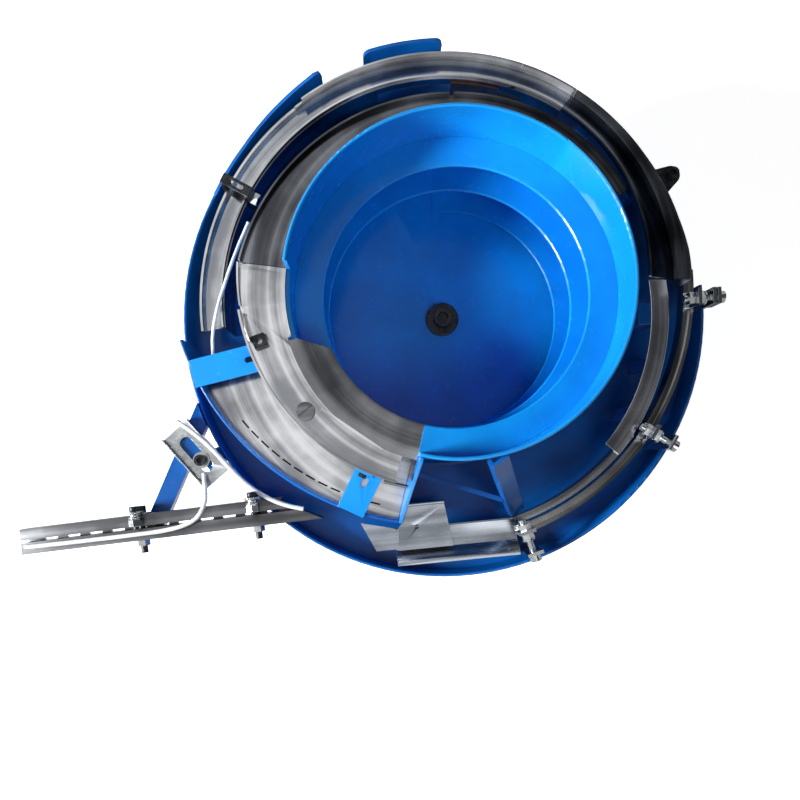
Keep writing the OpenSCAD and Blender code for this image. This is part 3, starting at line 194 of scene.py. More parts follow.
def along_the_run(tree, where, straight):
    """Where a line lies: round the bowl, or straight at an angle in degrees."""
    if straight is None:
        axes = add(tree, "ShaderNodeSeparateXYZ", {0: where}).outputs
        flat = add(tree, "ShaderNodeVectorMath", {0: where, 1: (1, 1, 0)}, operation="MULTIPLY")
        across = add(tree, "ShaderNodeVectorMath", {0: flat}, operation="LENGTH")
        run = [axes[0], axes[1]]
    else:
        turned = add(tree, "ShaderNodeMapping", {
            "Vector": where, "Rotation": (0, 0, math.radians(-straight))})
        axes = add(tree, "ShaderNodeSeparateXYZ", {0: turned}).outputs
        across = axes[1]
        run = [axes[0], axes[0]]
    fine = lumps(LINE_MM)
    across = add(tree, "ShaderNodeMath", {0: across, 1: fine}, operation="MULTIPLY")
    upright = add(tree, "ShaderNodeMath", {0: axes[2], 1: fine}, operation="MULTIPLY")
    run = [add(tree, "ShaderNodeMath", {0: way, 1: RUN}, operation="MULTIPLY") for way in run]
    lines = add(tree, "ShaderNodeCombineXYZ", {0: across, 1: run[0], 2: run[1]})
    return {"Vector": lines, "W": upright}


# %% [markdown]
# ## Polished and brushed sheet
# Hammering and rolling leave the sheet slightly wavy, so its reflections
# wander, and the hand that polishes leaves broad bands that are brighter or
# duller. The bands are the same noise as the lines, read far more coarsely.
# The pin lane, the right hand lanes and the skirt are drawn in a darker sheet, as painted shade, and rolled
# strip is nearly flat.

# %% Stainless sheet
BAND = 0.04  # bands of polish are about 11 mm wide, where the lines are 0.45 mm
SMEAR_MM, WAVE_MM = 45, 34  # smears left by polishing, and waves left by the rolls


def sheet_metal(name, base, dark, gloss, straight=None, wave_depth_mm=0.5):
    """Stainless sheet with lines and bands of polish, and waves of a given depth."""
    made, tree, where = new_material(name)
    run = along_the_run(tree, where, straight)
    lines = add(tree, "ShaderNodeTexNoise", {**run, "Scale": 1, "Detail": 2}, noise_dimensions="4D")
    bands = add(tree, "ShaderNodeTexNoise", {**run, "Scale": BAND, "Detail": 3}, noise_dimensions="4D")
    cloud = add(tree, "ShaderNodeTexNoise", {"Vector": where, "Scale": lumps(SMEAR_MM), "Detail": 3})
    cloud = add(tree, "ShaderNodeMath", {0: cloud, 1: 0.35}, operation="MULTIPLY")
    smear = add(tree, "ShaderNodeMath", {0: bands, 1: 0.65, 2: cloud}, operation="MULTIPLY_ADD")
    tone = add(tree, "ShaderNodeMapRange", {
        "Value": smear, "From Min": 0.4, "From Max": 0.6}, interpolation_type="SMOOTHSTEP")
    tone = add(tree, "ShaderNodeMix", {FACTOR: tone, FIRST: dark, SECOND: base}, data_type="RGBA")
    scored = add(tree, "ShaderNodeMapRange", {
        "Value": lines, "From Min": 0.5, "From Max": 0.8, "To Max": 0.12}, interpolation_type="SMOOTHSTEP")
    colour = add(tree, "ShaderNodeMix", {FACTOR: scored, FIRST: tone, SECOND: dark}, data_type="RGBA")
    line_gloss = add(tree, "ShaderNodeMapRange", {
        "Value": lines, "From Min": 0.3, "From Max": 0.7,
        "To Min": gloss - 0.03, "To Max": gloss + 0.04}, interpolation_type="SMOOTHSTEP")
    band_gloss = add(tree, "ShaderNodeMapRange", {
        "Value": smear, "From Min": 0.4, "From Max": 0.7, "To Max": 0.08}, interpolation_type="SMOOTHSTEP")
    rough = add(tree, "ShaderNodeMath", {0: line_gloss, 1: band_gloss}, operation="ADD")
    waves = add(tree, "ShaderNodeTexNoise", {"Vector": where, "Scale": lumps(WAVE_MM), "Detail": 1})
    waves = add(tree, "ShaderNodeBump", {"Height": waves, "Distance": wave_depth_mm * MM, "Strength": 0.7})
    scores = add(tree, "ShaderNodeBump", {
        "Height": lines, "Distance": 0.012 * MM, "Strength": 0.25, "Normal": waves})
    shader = add(tree, "ShaderNodeBsdfPrincipled", {
        "Base Color": colour, "Roughness": rough, "Normal": scores, "Metallic": 1})
    add(tree, "ShaderNodeOutputMaterial", {"Surface": shader})
    return made


lane_steel = sheet_metal(
    "stainless sheet, polished round the bowl", "#e2e3e5", "#a2a4a8", 0.16, wave_depth_mm=0.7)
deck_steel = sheet_metal("stainless sheet, brushed deck", "#e6e7e8", "#8c8e91", 0.17, wave_depth_mm=1.1)
chute_steel = sheet_metal("stainless sheet, brushed chute", "#a9aeb5", "#7f858c", 0.24, straight=5.6)
track_steel = sheet_metal(
    "ground stainless bar", "#85878a", "#595a5c", 0.36, straight=7, wave_depth_mm=0.15)
# a darker copy of the lane sheet, as painted shade on the pin lane, the right hand lanes and the skirt
shade_darkened_steel = sheet_metal("stainless sheet, darker as painted shade", "#92959a", "#4c4e52", 0.18, wave_depth_mm=0.7)
rail_steel = sheet_metal("stainless strip, rolled", "#b0b1b1", "#7f7e7c", 0.18, wave_depth_mm=0.3)
print("lines of", LINE_MM, "mm and bands of", LINE_MM / BAND, "mm")

# %% [markdown]
# ## Plated, painted and moulded pieces
# Small pieces need no run of polish. Two close tones in soft clouds and a fine
# grain are enough, and one function makes them all: what differs is how metallic
# and how glossy each is, and how big its clouds and its grain are.

# %% Small finishes
def small_finish(
        name, first, second, gloss, cloud_mm=6, grain_mm=0.8, depth_mm=0.02, metal=1.0, varnish=0.0):
    """An even finish in two close tones, with a fine grain."""
    made, tree, where = new_material(name)
    cloud = add(tree, "ShaderNodeTexNoise", {
        "Vector": where, "Scale": lumps(cloud_mm), "Detail": 4, "Roughness": 0.6})
    tone = add(tree, "ShaderNodeMapRange", {
        "Value": cloud, "From Min": 0.38, "From Max": 0.64}, interpolation_type="SMOOTHSTEP")
    colour = add(tree, "ShaderNodeMix", {FACTOR: tone, FIRST: first, SECOND: second}, data_type="RGBA")
    rough = add(tree, "ShaderNodeMapRange", {
        "Value": cloud, "From Min": 0.3, "From Max": 0.75,
        "To Min": gloss, "To Max": gloss + 0.16}, interpolation_type="SMOOTHSTEP")
    grain = add(tree, "ShaderNodeTexNoise", {"Vector": where, "Scale": lumps(grain_mm), "Detail": 2})
    grain = add(tree, "ShaderNodeBump", {"Height": grain, "Distance": depth_mm * MM, "Strength": 0.5})
    shader = add(tree, "ShaderNodeBsdfPrincipled", {
        "Base Color": colour, "Roughness": rough, "Normal": grain, "Metallic": metal, "Coat Weight": varnish})
    add(tree, "ShaderNodeOutputMaterial", {"Surface": shader})
    return made


# zinc plate is bright, with a faint yellow and blue bloom
zinc = small_finish("zinc plated steel", "#c2c4c2", "#9ba0a6", 0.15)
# black oxide is dark, and oily rather than glossy
black_oxide = small_finish("black oxide steel", "#1b1c20", "#34363b", 0.3, cloud_mm=4, metal=0.6)
# the plate under the lane is drawn dark brown and purple grey, as painted shade
brown_painted_shade = small_finish("steel, dark brown as painted shade", "#8a5f45", "#4e4550", 0.3, cloud_mm=16)
# tempering leaves spring steel a dull grey blue
blued = small_finish("blued spring steel", "#4d5a69", "#6d6f72", 0.28, cloud_mm=20)
# enamel on a rough casting has a soft gloss over broad lumps
machine_paint = small_finish(
    "grey machine enamel", "#49545f", "#3d4751", 0.34, cloud_mm=45, grain_mm=2.6, depth_mm=0.12, metal=0)
# moulded rubber is nearly black and dull
moulded_rubber = small_finish(
    "moulded rubber", "#1a1a1c", "#2b2b2d", 0.68, cloud_mm=12, grain_mm=1, depth_mm=0.08, metal=0)
# nylon takes a finer grain and a little more shine from its mould
black_nylon = small_finish(
    "black nylon", "#17181a", "#25272a", 0.42, cloud_mm=9, grain_mm=0.7, depth_mm=0.04, metal=0)
# varnish over copper wire gives a deep red brown that shines
copper = small_finish(
    "varnished copper wire", "#a8512a", "#7f3518", 0.22, cloud_mm=7, grain_mm=1.2, depth_mm=0.03,
    metal=0.7, varnish=0.7)
print("small finishes:", [made.name for made in (
    zinc, black_oxide, brown_painted_shade, blued, machine_paint, moulded_rubber, black_nylon, copper)])

# %% [markdown]
# ## Core laminations
# A magnet core is a stack of thin steel sheets under varnish, which shows as
# fine lines on its sides. Real sheets are about 0.5 mm thick. Lines as fine as
# that wouldn't show, so one line is drawn about every 2 mm.

# %% Laminated core
CORE_LINES = 1 / (6.28 * MM)  # a band wave of this scale repeats about every 2 mm
core_steel, tree, where = new_material("varnished core laminations")
sheets = add(tree, "ShaderNodeTexWave", {
    "Vector": where, "Scale": CORE_LINES, "Distortion": 0.2, "Detail": 1},
    wave_type="BANDS", bands_direction="Y").outputs["Fac"]
tone = add(tree, "ShaderNodeMix", {FACTOR: sheets, FIRST: "#4a4d51", SECOND: "#8a8d90"}, data_type="RGBA")
rust = add(tree, "ShaderNodeTexNoise", {"Vector": where, "Scale": lumps(11), "Detail": 4, "Roughness": 0.65})
rust = add(tree, "ShaderNodeMapRange", {
    "Value": rust, "From Min": 0.5, "From Max": 0.75}, interpolation_type="SMOOTHSTEP")
rust = add(tree, "ShaderNodeMapRange", {"Value": rust, "To Max": 0.5}, interpolation_type="SMOOTHSTEP")
colour = add(tree, "ShaderNodeMix", {FACTOR: rust, FIRST: tone, SECOND: "#6b5142"}, data_type="RGBA")
rough = add(tree, "ShaderNodeMapRange", {
    "Value": sheets, "To Min": 0.5, "To Max": 0.32}, interpolation_type="SMOOTHSTEP")
grooves = add(tree, "ShaderNodeBump", {"Height": sheets, "Distance": 0.15 * MM, "Strength": 0.6})
shader = add(tree, "ShaderNodeBsdfPrincipled", {
    "Base Color": colour, "Roughness": rough, "Normal": grooves, "Metallic": 0.8})
add(tree, "ShaderNodeOutputMaterial", {"Surface": shader})
print(core_steel.name, "with", len(tree.nodes), "nodes")

# %% [markdown]
# ## Air line
# Thin polyurethane tube is milky white. Light enters it and comes out softened,
# so the shader lets light scatter a little way under the surface.

# %% Milky tube
air_line, tree, where = new_material("milky polyurethane tube")
cloud = add(tree, "ShaderNodeTexNoise", {"Vector": where, "Scale": lumps(15), "Detail": 2})
tone = add(tree, "ShaderNodeMapRange", {
    "Value": cloud, "From Min": 0.4, "From Max": 0.65}, interpolation_type="SMOOTHSTEP")
colour = add(tree, "ShaderNodeMix", {FACTOR: tone, FIRST: "#dfe4e6", SECOND: "#f1f2ef"}, data_type="RGBA")
rough = add(tree, "ShaderNodeMapRange", {
    "Value": cloud, "From Min": 0.3, "From Max": 0.7, "To Min": 0.22, "To Max": 0.36},
    interpolation_type="SMOOTHSTEP")
grain = add(tree, "ShaderNodeTexNoise", {"Vector": where, "Scale": lumps(2), "Detail": 1})
grain = add(tree, "ShaderNodeBump", {"Height": grain, "Distance": 0.02 * MM, "Strength": 0.3})
shader = add(tree, "ShaderNodeBsdfPrincipled", {
    "Base Color": colour, "Roughness": rough, "Normal": grain,
    "Subsurface Weight": 0.25, "Subsurface Scale": 1.5 * MM})
add(tree, "ShaderNodeOutputMaterial", {"Surface": shader})
print(air_line.name, "with", len(tree.nodes), "nodes")

# %% [markdown]
# ## Which piece has which finish
# The bowl and its ledge share one coating. The drum and its stays take the same blue drawn deeper, as painted
# shade, and the bridges are the palest. The steel is sorted by how it was worked, except that the pin lane,
# the right hand lanes and the skirt take a darker sheet, as painted shade. Each CAD node gets its one finish
# from this list, so none is left bare.

# %% Give each CAD node its finish
FINISHES = {
    bowl_blue: ["inner_bowl", "spiral_ledge"],
    drum_blue_painted_shade: ["outer_drum", "lane_posts", "rim_strut", "diagonal_rib", "track_arm", "tray_wall"],
    bridge_blue: ["tray_bridges", "end_gusset"],
    deck_steel: ["return_apron", "exit_deck", "deck_skirt", "deck_guide", "deck_blade", "tray_floor"],
    lane_steel: ["washer_lane_left", "lane_wall_left", "discharge_strip"],
    shade_darkened_steel: ["pin_lane", "washer_lane_right", "lane_wall_right", "lane_skirt"],
    chute_steel: ["exit_chute", "chute_cover"],
    rail_steel: ["outer_rail", "inner_rail", "tie_rod"],
    track_steel: ["linear_track", "deck_screw"],
    zinc: ["foot_inserts", "foot_studs", "lower_spring_clamps", "lower_spring_spacers",
           "upper_spring_clamps", "upper_spring_spacers", "clamp_brackets", "clamp_bolts",
           "sensor_bracket", "m6_nuts", "m6_washers"],
    black_oxide: ["centre_washer", "centre_bolt", "lower_spring_bolts", "upper_spring_bolts",
                  "blade_nut", "lane_clip", "rim_ear", "black_screws"],
    brown_painted_shade: ["selector_plate"],
    blued: ["leaf_springs"],
    machine_paint: ["base_casting", "magnet_bracket", "top_plate"],
    moulded_rubber: ["rubber_feet"],
    black_nylon: ["cable_gland"],
    core_steel: ["magnet_core", "armature"],
    copper: ["magnet_coil"],
    air_line: ["air_tubes"],
}
finish_of = {name: finish for finish, names in FINISHES.items() for name in names}
for name, piece in nodes.items():
    piece.data.materials.clear()
    piece.data.materials.append(finish_of[name])
print("finishes", len(FINISHES), "for", len(finish_of), "nodes")

# %% [markdown]
# ## Helpers for new pieces
# A CAD solid is exact but bare: its edges are as sharp as a drawing. Each piece below is either shaped afresh
# with mesh operators or a merged copy of its CAD solid, and it takes that solid's place. The record says
# which body the solid had, so the piece takes that body.

# %% Piece helpers
TOUCHING = 0.002 * MM  # corners closer than this are one corner
NEARLY_FLAT = math.radians(0.5)
BODY_OF = {node: body for body, members in frame["record"]["behaviour"]["bodies"].items() for node in members}


def finished(name, shape, stands_for, finish, smooth_below=25, outwards=True, beside=False, bend=None):
    """Makes a bmesh a piece in place of one CAD node, or beside it, on the same body.

    With bend, it is put on no body and its place is baked into its mesh; the heights in bend are not used.
    """
    bmesh.ops.remove_doubles(shape, verts=shape.verts, dist=TOUCHING)
    if outwards:
        bmesh.ops.recalc_face_normals(shape, faces=shape.faces)
    for face in shape.faces:
        face.smooth = len(face.verts) < 5  # a big face with many corners is flat
    data = bpy.data.meshes.new(name)
    shape.to_mesh(data)
    shape.free()
    data.set_sharp_from_angle(angle=math.radians(smooth_below))
    data.materials.append(finish)
    made = bpy.data.objects.new(name, data)
    bpy.context.scene.collection.objects.link(made)
    if bend is None:
        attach(made, BODY_OF[stands_for])
    else:
        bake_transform(made)
    if not beside:
        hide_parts(stands_for)
    return made


def merged_copy(node):
    """A copy of a CAD solid with its corners merged and its flat facets joined."""
    shape = bmesh.new()
    shape.from_mesh(nodes[node].data)
    bmesh.ops.remove_doubles(shape, verts=shape.verts, dist=TOUCHING)
    bmesh.ops.dissolve_limit(shape, angle_limit=NEARLY_FLAT, verts=shape.verts, edges=shape.edges)
    return shape


# %% [markdown]
# ## Edges that catch the light
# Sheet is deburred after cutting, a casting leaves its mould with a radius, and
# a thick coating pulls into a soft edge. The CAD solid has none of these small
# rounds, so a bevel runs along every edge of a copy that turns sharply.

# %% Rounded copies of CAD solids
SHARP = math.radians(32)


def rounded(node, edge_mm):
    """A copy of a CAD solid with its sharp edges rounded."""
    shape = merged_copy(node)
    before = shape.calc_volume()
    sharp = [e for e in shape.edges if e.is_manifold and e.calc_face_angle(0) > SHARP]
    bmesh.ops.bevel(
        shape, geom=sharp, offset=edge_mm * MM, offset_type="OFFSET", segments=2, profile=0.5,
        affect="EDGES", clamp_overlap=True, material=-1, loop_slide=True)
    kept = shape.calc_volume() / before
    loose = sum(not e.is_manifold for e in shape.edges)
    made = finished(node + "_rounded", shape, node, finish_of[node], outwards=False)
    print("rounded", node, len(sharp), "edges,", round(100 * kept, 2), "% of its volume,",
          loose, "loose,", len(made.data.polygons), "faces")


COATED = {"inner_bowl": 0.9, "outer_drum": 0.8, "tray_bridges": 0.7, "end_gusset": 0.6, "rim_strut": 0.8,
          "lane_posts": 0.5, "diagonal_rib": 0.5, "track_arm": 0.6}
CAST_AND_TURNED = {"base_casting": 2, "top_plate": 1.6, "magnet_bracket": 0.8, "lower_spring_clamps": 1,
                   "upper_spring_clamps": 1, "centre_washer": 0.8, "centre_bolt": 0.5, "cable_gland": 0.6}
SHEET = {"clamp_brackets": 0.4, "sensor_bracket": 0.4, "lane_clip": 0.4, "rim_ear": 0.6,
         "exit_chute": 0.3, "chute_cover": 0.3, "linear_track": 0.5, "deck_blade": 0.35,
         "exit_deck": 0.35, "discharge_strip": 0.3}
for node, edge_mm in {**COATED, **CAST_AND_TURNED, **SHEET}.items():
    rounded(node, edge_mm)

# %% [markdown]
# ## Rubber feet
# The drive stands on four moulded rubber feet, which keep its shaking out of
# the bench. Each is a round buffer with a waist, soft lips and a steel thread
# in each end. It is turned: a profile is spun round the foot's own axis.

# %% Rubber feet
foot_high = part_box("rubber_feet")[1]
FOOT_R = 20
FOOT_TALL = foot_high.z / MM
INSERT_R = 7.95
STUD_R = 5.05
foot_profile = [
    (INSERT_R, 0), (17.2, 0), (18.6, 0.5), (19.6, 1.6), (FOOT_R, 3.2), (FOOT_R, 9.4), (19.8, 10.8),
    (19.1, 11.9), (18.3, 13), (18, 15), (18.3, 17), (19.1, 18.1), (19.8, 19.2), (FOOT_R, 20.6),
    (FOOT_R, FOOT_TALL - 3.2), (19.6, FOOT_TALL - 1.6), (18.6, FOOT_TALL - 0.5), (17.2, FOOT_TALL),
    (STUD_R, FOOT_TALL), (STUD_R, FOOT_TALL - 10.1), (STUD_R, 12.1), (INSERT_R, 12.1), (INSERT_R, 0)]
out_x, out_y = foot_high.x / MM - FOOT_R, foot_high.y / MM - FOOT_R
foot_middles = [(x * out_x, y * out_y) for x in (-1, 1) for y in (-1, 1)]
feet = bmesh.new()
for x, y in foot_middles:
    corners = [feet.verts.new(Vector((x + r, y, z)) * MM) for r, z in foot_profile]
    edges = [feet.edges.new(pair) for pair in zip(corners, corners[1:])]
    bmesh.ops.spin(
        feet, geom=corners + edges, cent=Vector((x, y, 0)) * MM, axis=(0, 0, 1),
        angle=math.tau, steps=64, use_merge=True)
finished("rubber_foot_buffers", feet, "rubber_feet", moulded_rubber)
print("feet at", [tuple(round(v, 1) for v in m) for m in foot_middles])

# %% [markdown]
# ## Round wire and tube
# Wire and tube have a round section and follow a path. A curve with a bevel
# draws exactly that, either from corner to corner or smoothly through its
# points, and is then made a mesh, so that it can become a piece.

# %% Wires and tubes along paths
def wire(name, splines, radius_mm, closed, smooth_path=False):
    """Round wires or tubes along paths, as one bmesh."""
    curve = bpy.data.curves.new(name, "CURVE")
    curve.dimensions = "3D"
    curve.bevel_depth = radius_mm * MM
    curve.bevel_resolution = 3
    curve.use_fill_caps = True
    curve.resolution_u = 8
    for points in splines:
        spline = curve.splines.new("BEZIER" if smooth_path else "POLY")
        if smooth_path:
            spline.bezier_points.add(len(points) - 1)
            for knot, place_mm in zip(spline.bezier_points, points):
                knot.co = Vector(place_mm) * MM
                knot.handle_left_type = knot.handle_right_type = "AUTO"
        else:
            spline.points.add(len(points) - 1)
            for knot, place_mm in zip(spline.points, points):
                knot.co = (*(Vector(place_mm) * MM), 1)
        spline.use_cyclic_u = closed
    held = bpy.data.objects.new(name, curve)
    bpy.context.scene.collection.objects.link(held)
    bpy.context.view_layer.update()
    data = bpy.data.meshes.new_from_object(held.evaluated_get(bpy.context.evaluated_depsgraph_get()))
    shape = bmesh.new()
    shape.from_mesh(data)
    bpy.data.objects.remove(held)
    bpy.data.curves.remove(curve)
    bpy.data.meshes.remove(data)
    return shape


# %% [markdown]
# ## The magnet's winding
# The electromagnet that shakes the bowl is copper wire wound in layers round
# the middle leg of its core. Only the outer layer shows, so one wire loop with
# round corners is drawn for each turn of it, and its turns touch.

# %% Winding
WIRE_MM = 2.25
CORNER_MM = 9
CORNER_STEPS = 6
coil_low, coil_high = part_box("magnet_coil")
half_x, half_y = coil_high.x / MM, coil_high.y / MM
turns = int((coil_high.z - coil_low.z) / MM / WIRE_MM)


def loop_points(inset):
    """A rectangle with round corners, as points round the coil."""
    x, y, r = half_x - inset, half_y - inset, CORNER_MM
    points = []
    for quarter, (cx, cy) in enumerate(((x - r, y - r), (r - x, y - r), (r - x, r - y), (x - r, r - y))):
        for step in range(CORNER_STEPS + 1):
            a = math.radians(90 * quarter + 90 * step / CORNER_STEPS)
            points.append((cx + r * math.cos(a), cy + r * math.sin(a)))
    return points


rows = [coil_low.z / MM + WIRE_MM * (i + 0.5) for i in range(turns)]
loops = [[(x, y, z) for x, y in loop_points(WIRE_MM / 2)] for z in rows]
winding = wire("winding", loops, WIRE_MM / 2, True)
finished("magnet_winding", winding, "magnet_coil", copper, smooth_below=60)
print("winding", turns, "turns of", WIRE_MM, "mm")

# %% [markdown]
# ## Air lines
# Three thin air lines blow parts off or along the lanes. Each is one smooth
# tube that is held at both ends and where it passes over an edge, so the curve
# runs through the places that the CAD route goes through.

# %% Air lines
UPPER_LINE = [
    (-234, -96, 236), (-222, -104, 238), (-205, -118, 239), (-190, -134, 239), (-174, -150, 238),
    (-156, -162, 237), (-138, -169, 237), (-124, -172, 237.4)]
LOWER_LINE = [
    (-214.5, -142, 222.7), (-213, -149, 226.3), (-211, -157, 230.5), (-210, -166, 236), (-212.5, -174, 238),
    (-218, -181, 237.6), (-228, -186.4, 237.2), (-242, -190.2, 237.2), (-266, -193.8, 237.2),
    (-300, -198, 237.2), (-340, -202.6, 237.2), (-366, -205.4, 237.2)]
LANE_LINE = [
    (-168, 70, 256), (-178, 50, 252), (-190, 22, 246), (-199, -2, 240), (-203.5, -22, 235),
    (-204, -34, 232.4), (-203.5, -46, 231.6)]
tubes = wire("tubes", [UPPER_LINE, LOWER_LINE], 2, False, smooth_path=True)
lane_tube = wire("lane_tube", [LANE_LINE], 1.5, False, smooth_path=True)
lane_data = bpy.data.meshes.new("lane tube")
lane_tube.to_mesh(lane_data)
lane_tube.free()
tubes.from_mesh(lane_data)
bpy.data.meshes.remove(lane_data)
finished("smooth_air_lines", tubes, "air_tubes", air_line, smooth_below=60)
for line in (UPPER_LINE, LOWER_LINE, LANE_LINE):
    print("air line", round(sum(math.dist(a, b) for a, b in zip(line, line[1:]))), "mm long")

# %% [markdown]
# ## The corner at the bowl's foot
# The bowl is welded to the drum's floor all round, and the coating fills that
# corner to a small hollow round. It is a profile of a few points that is spun
# round the bowl's axis.

# %% Coated corner
FOOT_OF_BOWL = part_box("inner_bowl")[1].x / MM
DRUM_FLOOR = 190
corner_profile = [
    (0.03, 0.03), (0.03, 4.2), (0.5, 3), (1.1, 2), (2, 1.1), (3, 0.5), (4.2, 0.03), (0.03, 0.03)]
corner = bmesh.new()
around = [corner.verts.new(Vector((FOOT_OF_BOWL + r, 0, DRUM_FLOOR + z)) * MM) for r, z in corner_profile]
around_edges = [corner.edges.new(pair) for pair in zip(around, around[1:])]
bmesh.ops.spin(
    corner, geom=around + around_edges, cent=(0, 0, 0), axis=(0, 0, 1),
    angle=math.tau, steps=128, use_merge=True)
finished("coated_corner", corner, "outer_drum", drum_blue_painted_shade, beside=True)
print("corner round a bowl of", round(FOOT_OF_BOWL, 1), "mm radius")

# %% [markdown]
# ## Leaf springs that bend
# The four packs of leaf springs are all that holds the bowl, and they bend as
# it twists: the lower end stays in the base's clamp and the upper end goes with
# the bowl. The copy of each leaf is cut into short lengths between the clamps,
# so that it can bend there.

# %% Leaf springs
BEND_STEPS = 12
bend_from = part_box("lower_spring_clamps")[1].z
bend_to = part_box("upper_spring_clamps")[0].z
springs = merged_copy("leaf_springs")
for step in range(BEND_STEPS + 1):
    level = bend_from + (bend_to - bend_from) * step / BEND_STEPS
    bmesh.ops.bisect_plane(
        springs, geom=springs.verts[:] + springs.edges[:] + springs.faces[:],
        plane_co=(0, 0, level), plane_no=(0, 0, 1))
finished("bending_leaf_springs", springs, "leaf_springs", blued, outwards=False, bend=(bend_from, bend_to))
print("leaf springs bend between", round(bend_from / MM, 1), "and", round(bend_to / MM, 1), "mm")

# %% [markdown]
# ## Adjusting screws on the track
# The straight track at the exit is lined up with two small screws that lie
# across its top. Each has a cap head, a broad washer, a sleeve and a nut that
# rests on the bar. They are turned parts, so each is a short bar with its ends
# chamfered, laid across the track.

# %% Adjusting screws
TRACK_START = (-109, -169.2)
TRACK_TURN = Matrix.Rotation(math.radians(7), 4, "Z")
TRACK_EDGE = 11.25
SCREW_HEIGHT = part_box("linear_track")[1].z / MM + 5.6
SCREW_STATIONS = (-58, -160)  # along the track, from its start
# sides, width across, start and end measured from the track's edge, chamfer
BRIGHT_BARS = {
    "nut": (6, 10, -9.5, -3, 0.5), "thin washer": (40, 10.4, -2.8, -1.2, 0.3),
    "sleeve": (40, 8, -1, 1.6, 0.3), "broad washer": (48, 14, 1.8, 3.4, 0.4)}
DARK_BARS = {"cap head": (40, 8.4, 3.5, 8, 0.6), "thread end": (24, 4.8, -12.5, -9.6, 0.4)}


def turned_bar(shape, station, sides, across_mm, start_mm, end_mm, chamfer_mm):
    """Adds a round or six-sided bar that lies across the track, from start to end."""
    radius = across_mm / 2 / (math.cos(math.pi / 6) if sides == 6 else 1)
    middle = TRACK_TURN @ Vector((station, (start_mm + end_mm) / 2, 0))
    place_mm = Vector((TRACK_START[0] + middle.x, TRACK_START[1] + middle.y, SCREW_HEIGHT))
    lay = Matrix.Translation(place_mm * MM) @ TRACK_TURN @ Matrix.Rotation(math.radians(90), 4, "X")
    bar = bmesh.new()
    bmesh.ops.create_cone(
        bar, cap_ends=True, segments=sides, radius1=radius * MM, radius2=radius * MM,
        depth=(end_mm - start_mm) * MM)
    rims = [e for e in bar.edges if abs(e.verts[0].co.z - e.verts[1].co.z) < 0.01 * MM]
    bmesh.ops.bevel(
        bar, geom=rims, offset=chamfer_mm * MM, offset_type="OFFSET", segments=2, profile=0.5,
        affect="EDGES", clamp_overlap=True, material=-1)
    bmesh.ops.transform(bar, matrix=lay, verts=bar.verts)
    data = bpy.data.meshes.new("bar")
    bar.to_mesh(data)
    shape.from_mesh(data)
    bpy.data.meshes.remove(data)
    bar.free()


bright_parts, dark_parts = bmesh.new(), bmesh.new()
for shape, bars in ((bright_parts, BRIGHT_BARS), (dark_parts, DARK_BARS)):
    for station in SCREW_STATIONS:
        for sides, across_mm, start_mm, end_mm, chamfer_mm in bars.values():
            turned_bar(
                shape, station, sides, across_mm, TRACK_EDGE + start_mm, TRACK_EDGE + end_mm, chamfer_mm)
finished("track_screw_nuts", bright_parts, "m6_nuts", zinc, beside=True)
finished("track_screw_heads", dark_parts, "black_screws", black_oxide, beside=True)
print("screws", len(SCREW_STATIONS), "at", round(SCREW_HEIGHT, 1), "mm")

# %% [markdown]
# ## Floor
# The feeder stands on plain white paper. Lit by soft lamps, paper looks grey,
# so a glow that only the camera sees lifts it to white. The glow is added to
# the paper's own light, so the feeder's shadow stays.

# %% Floor
FLOOR_GLOW = 0.82
FLOOR_REACH_M = 4
floor_mesh = bmesh.new()
bmesh.ops.create_grid(floor_mesh, x_segments=1, y_segments=1, size=FLOOR_REACH_M)
floor_data = bpy.data.meshes.new("Floor")
floor_mesh.to_mesh(floor_data)
floor_mesh.free()
floor = bpy.data.objects.new("Floor", floor_data)
bpy.context.scene.collection.objects.link(floor)
paper, tree, where = new_material("white paper")
cloud = add(tree, "ShaderNodeTexNoise", {"Vector": where, "Scale": lumps(300), "Detail": 2})
cloud = add(tree, "ShaderNodeMapRange", {
    "Value": cloud, "From Min": 0.4, "From Max": 0.6}, interpolation_type="SMOOTHSTEP")
colour = add(tree, "ShaderNodeMix", {FACTOR: cloud, FIRST: "#f4f4f4", SECOND: "#f7f7f7"}, data_type="RGBA")
shader = add(tree, "ShaderNodeBsdfPrincipled", {"Base Color": colour, "Roughness": 0.9})
seen = add(tree, "ShaderNodeLightPath").outputs["Is Camera Ray"]
seen = add(tree, "ShaderNodeMath", {0: seen, 1: FLOOR_GLOW}, operation="MULTIPLY")
glow = add(tree, "ShaderNodeEmission", {"Color": "#ffffff", "Strength": seen})
both = add(tree, "ShaderNodeAddShader", {0: shader, 1: glow})
add(tree, "ShaderNodeOutputMaterial", {"Surface": both})
floor_data.materials.append(paper)
print("floor", 2 * FLOOR_REACH_M, "m wide, lifted by", FLOOR_GLOW)

# %% [markdown]
# ## Sky
# Polished sheet shows what is round it, so the sky is what makes it look like
# steel. High up it is bright on the left, dark on the right and dark in
# patches, and low down it is an even pale grey. Matt and coated surfaces are
# lit by a much weaker sky, so that their colours stay deep. The camera itself
# sees one pale colour, because the patches would show behind the feeder.

# %% Sky
SKY_SEEN = 1.15  # the strength that polished steel and the camera see
SKY_LIGHT = 0.1  # the strength that lights the coating
BRIGHT_SIDE, DARK_SIDE, PATCHES, LOW_SKY, BACKDROP = "#fbfcff", "#3c3d40", "#303134", "#c4c7cb", "#f4f5f6"
world = bpy.data.worlds.new("World")
bpy.context.scene.world = world
world.use_nodes = True
sky = world.node_tree
sky.nodes.clear()
direction = add(sky, "ShaderNodeTexCoord").outputs["Generated"]
slant = add(sky, "ShaderNodeVectorMath", {0: direction, 1: (1, 0.1, 0)}, operation="DOT_PRODUCT")
slant = add(sky, "ShaderNodeMapRange", {
    "Value": slant, "From Min": -0.14, "From Max": 0.34}, interpolation_type="SMOOTHSTEP")
side = add(sky, "ShaderNodeMix", {FACTOR: slant, FIRST: BRIGHT_SIDE, SECOND: DARK_SIDE}, data_type="RGBA")
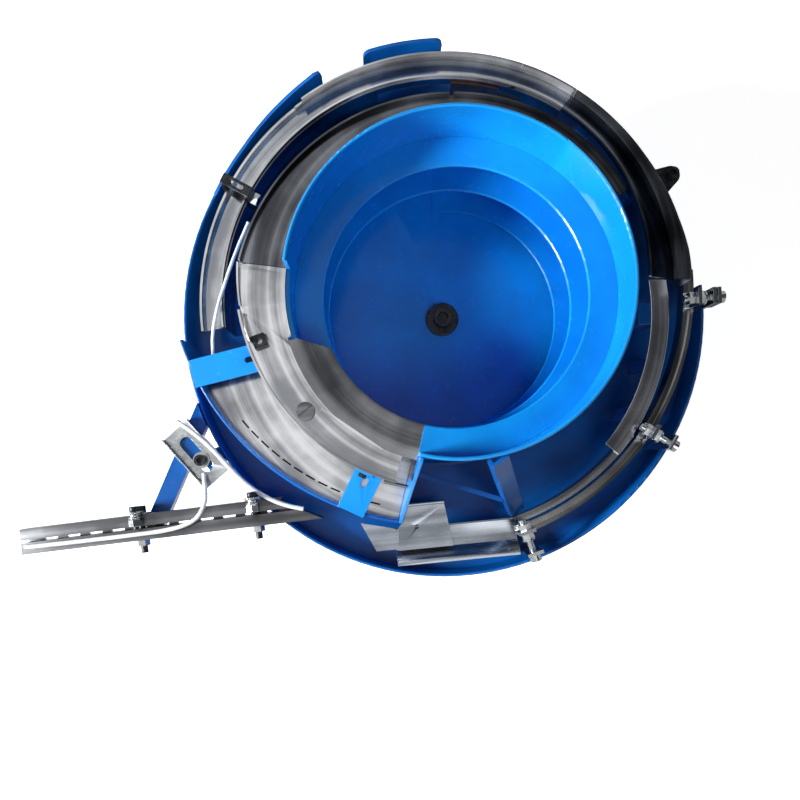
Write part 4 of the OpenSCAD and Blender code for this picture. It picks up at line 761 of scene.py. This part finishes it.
patches = add(sky, "ShaderNodeTexNoise", {"Vector": direction, "Scale": 4.6, "Detail": 1})
patches = add(sky, "ShaderNodeMapRange", {
    "Value": patches, "From Min": 0.52, "From Max": 0.68, "To Max": 0.6}, interpolation_type="SMOOTHSTEP")
overhead = add(sky, "ShaderNodeMix", {FACTOR: patches, FIRST: side, SECOND: PATCHES}, data_type="RGBA")
height = add(sky, "ShaderNodeSeparateXYZ", {0: direction}).outputs[2]
height = add(sky, "ShaderNodeMapRange", {
    "Value": height, "From Min": 0.5, "From Max": 0.72}, interpolation_type="SMOOTHSTEP")
whole = add(sky, "ShaderNodeMix", {FACTOR: height, FIRST: LOW_SKY, SECOND: overhead}, data_type="RGBA")
ray = add(sky, "ShaderNodeLightPath").outputs
strength = add(sky, "ShaderNodeMapRange", {
    "Value": ray["Is Diffuse Ray"], "To Min": SKY_SEEN, "To Max": SKY_LIGHT})
shown = add(sky, "ShaderNodeMix", {
    FACTOR: ray["Is Camera Ray"], FIRST: whole, SECOND: BACKDROP}, data_type="RGBA")
light = add(sky, "ShaderNodeBackground", {"Color": shown, "Strength": strength})
add(sky, "ShaderNodeOutputWorld", {"Surface": light})
print("sky", SKY_SEEN, "seen,", SKY_LIGHT, "as light")

# %% [markdown]
# ## Soft lamps
# The key lamp stands low on the left, so that one side of each wall is light
# and the other is in shade. A broad, weak fill lamp high up in front softens
# the shadows. Both are discs, which give soft edges to shadows and reflections.

# %% Soft lamps
def soft_lamp(name, place_mm, size, power):
    """A disc lamp that points at the middle of the bowl."""
    data = bpy.data.lights.new(name, "AREA")
    data.shape = "DISK"
    data.size = size
    data.energy = power
    made = bpy.data.objects.new(name, data)
    made.location = Vector(place_mm) * MM
    aim = Vector((0, 0, 250)) * MM - made.location
    made.rotation_mode = "QUATERNION"
    made.rotation_quaternion = aim.to_track_quat("-Z", "Y")
    bpy.context.scene.collection.objects.link(made)
    print(name, power, "W,", size, "m across")


soft_lamp("Key lamp", (-1350, -300, 930), 0.45, 42)
soft_lamp("Fill lamp", (500, -900, 1600), 0.9, 5)
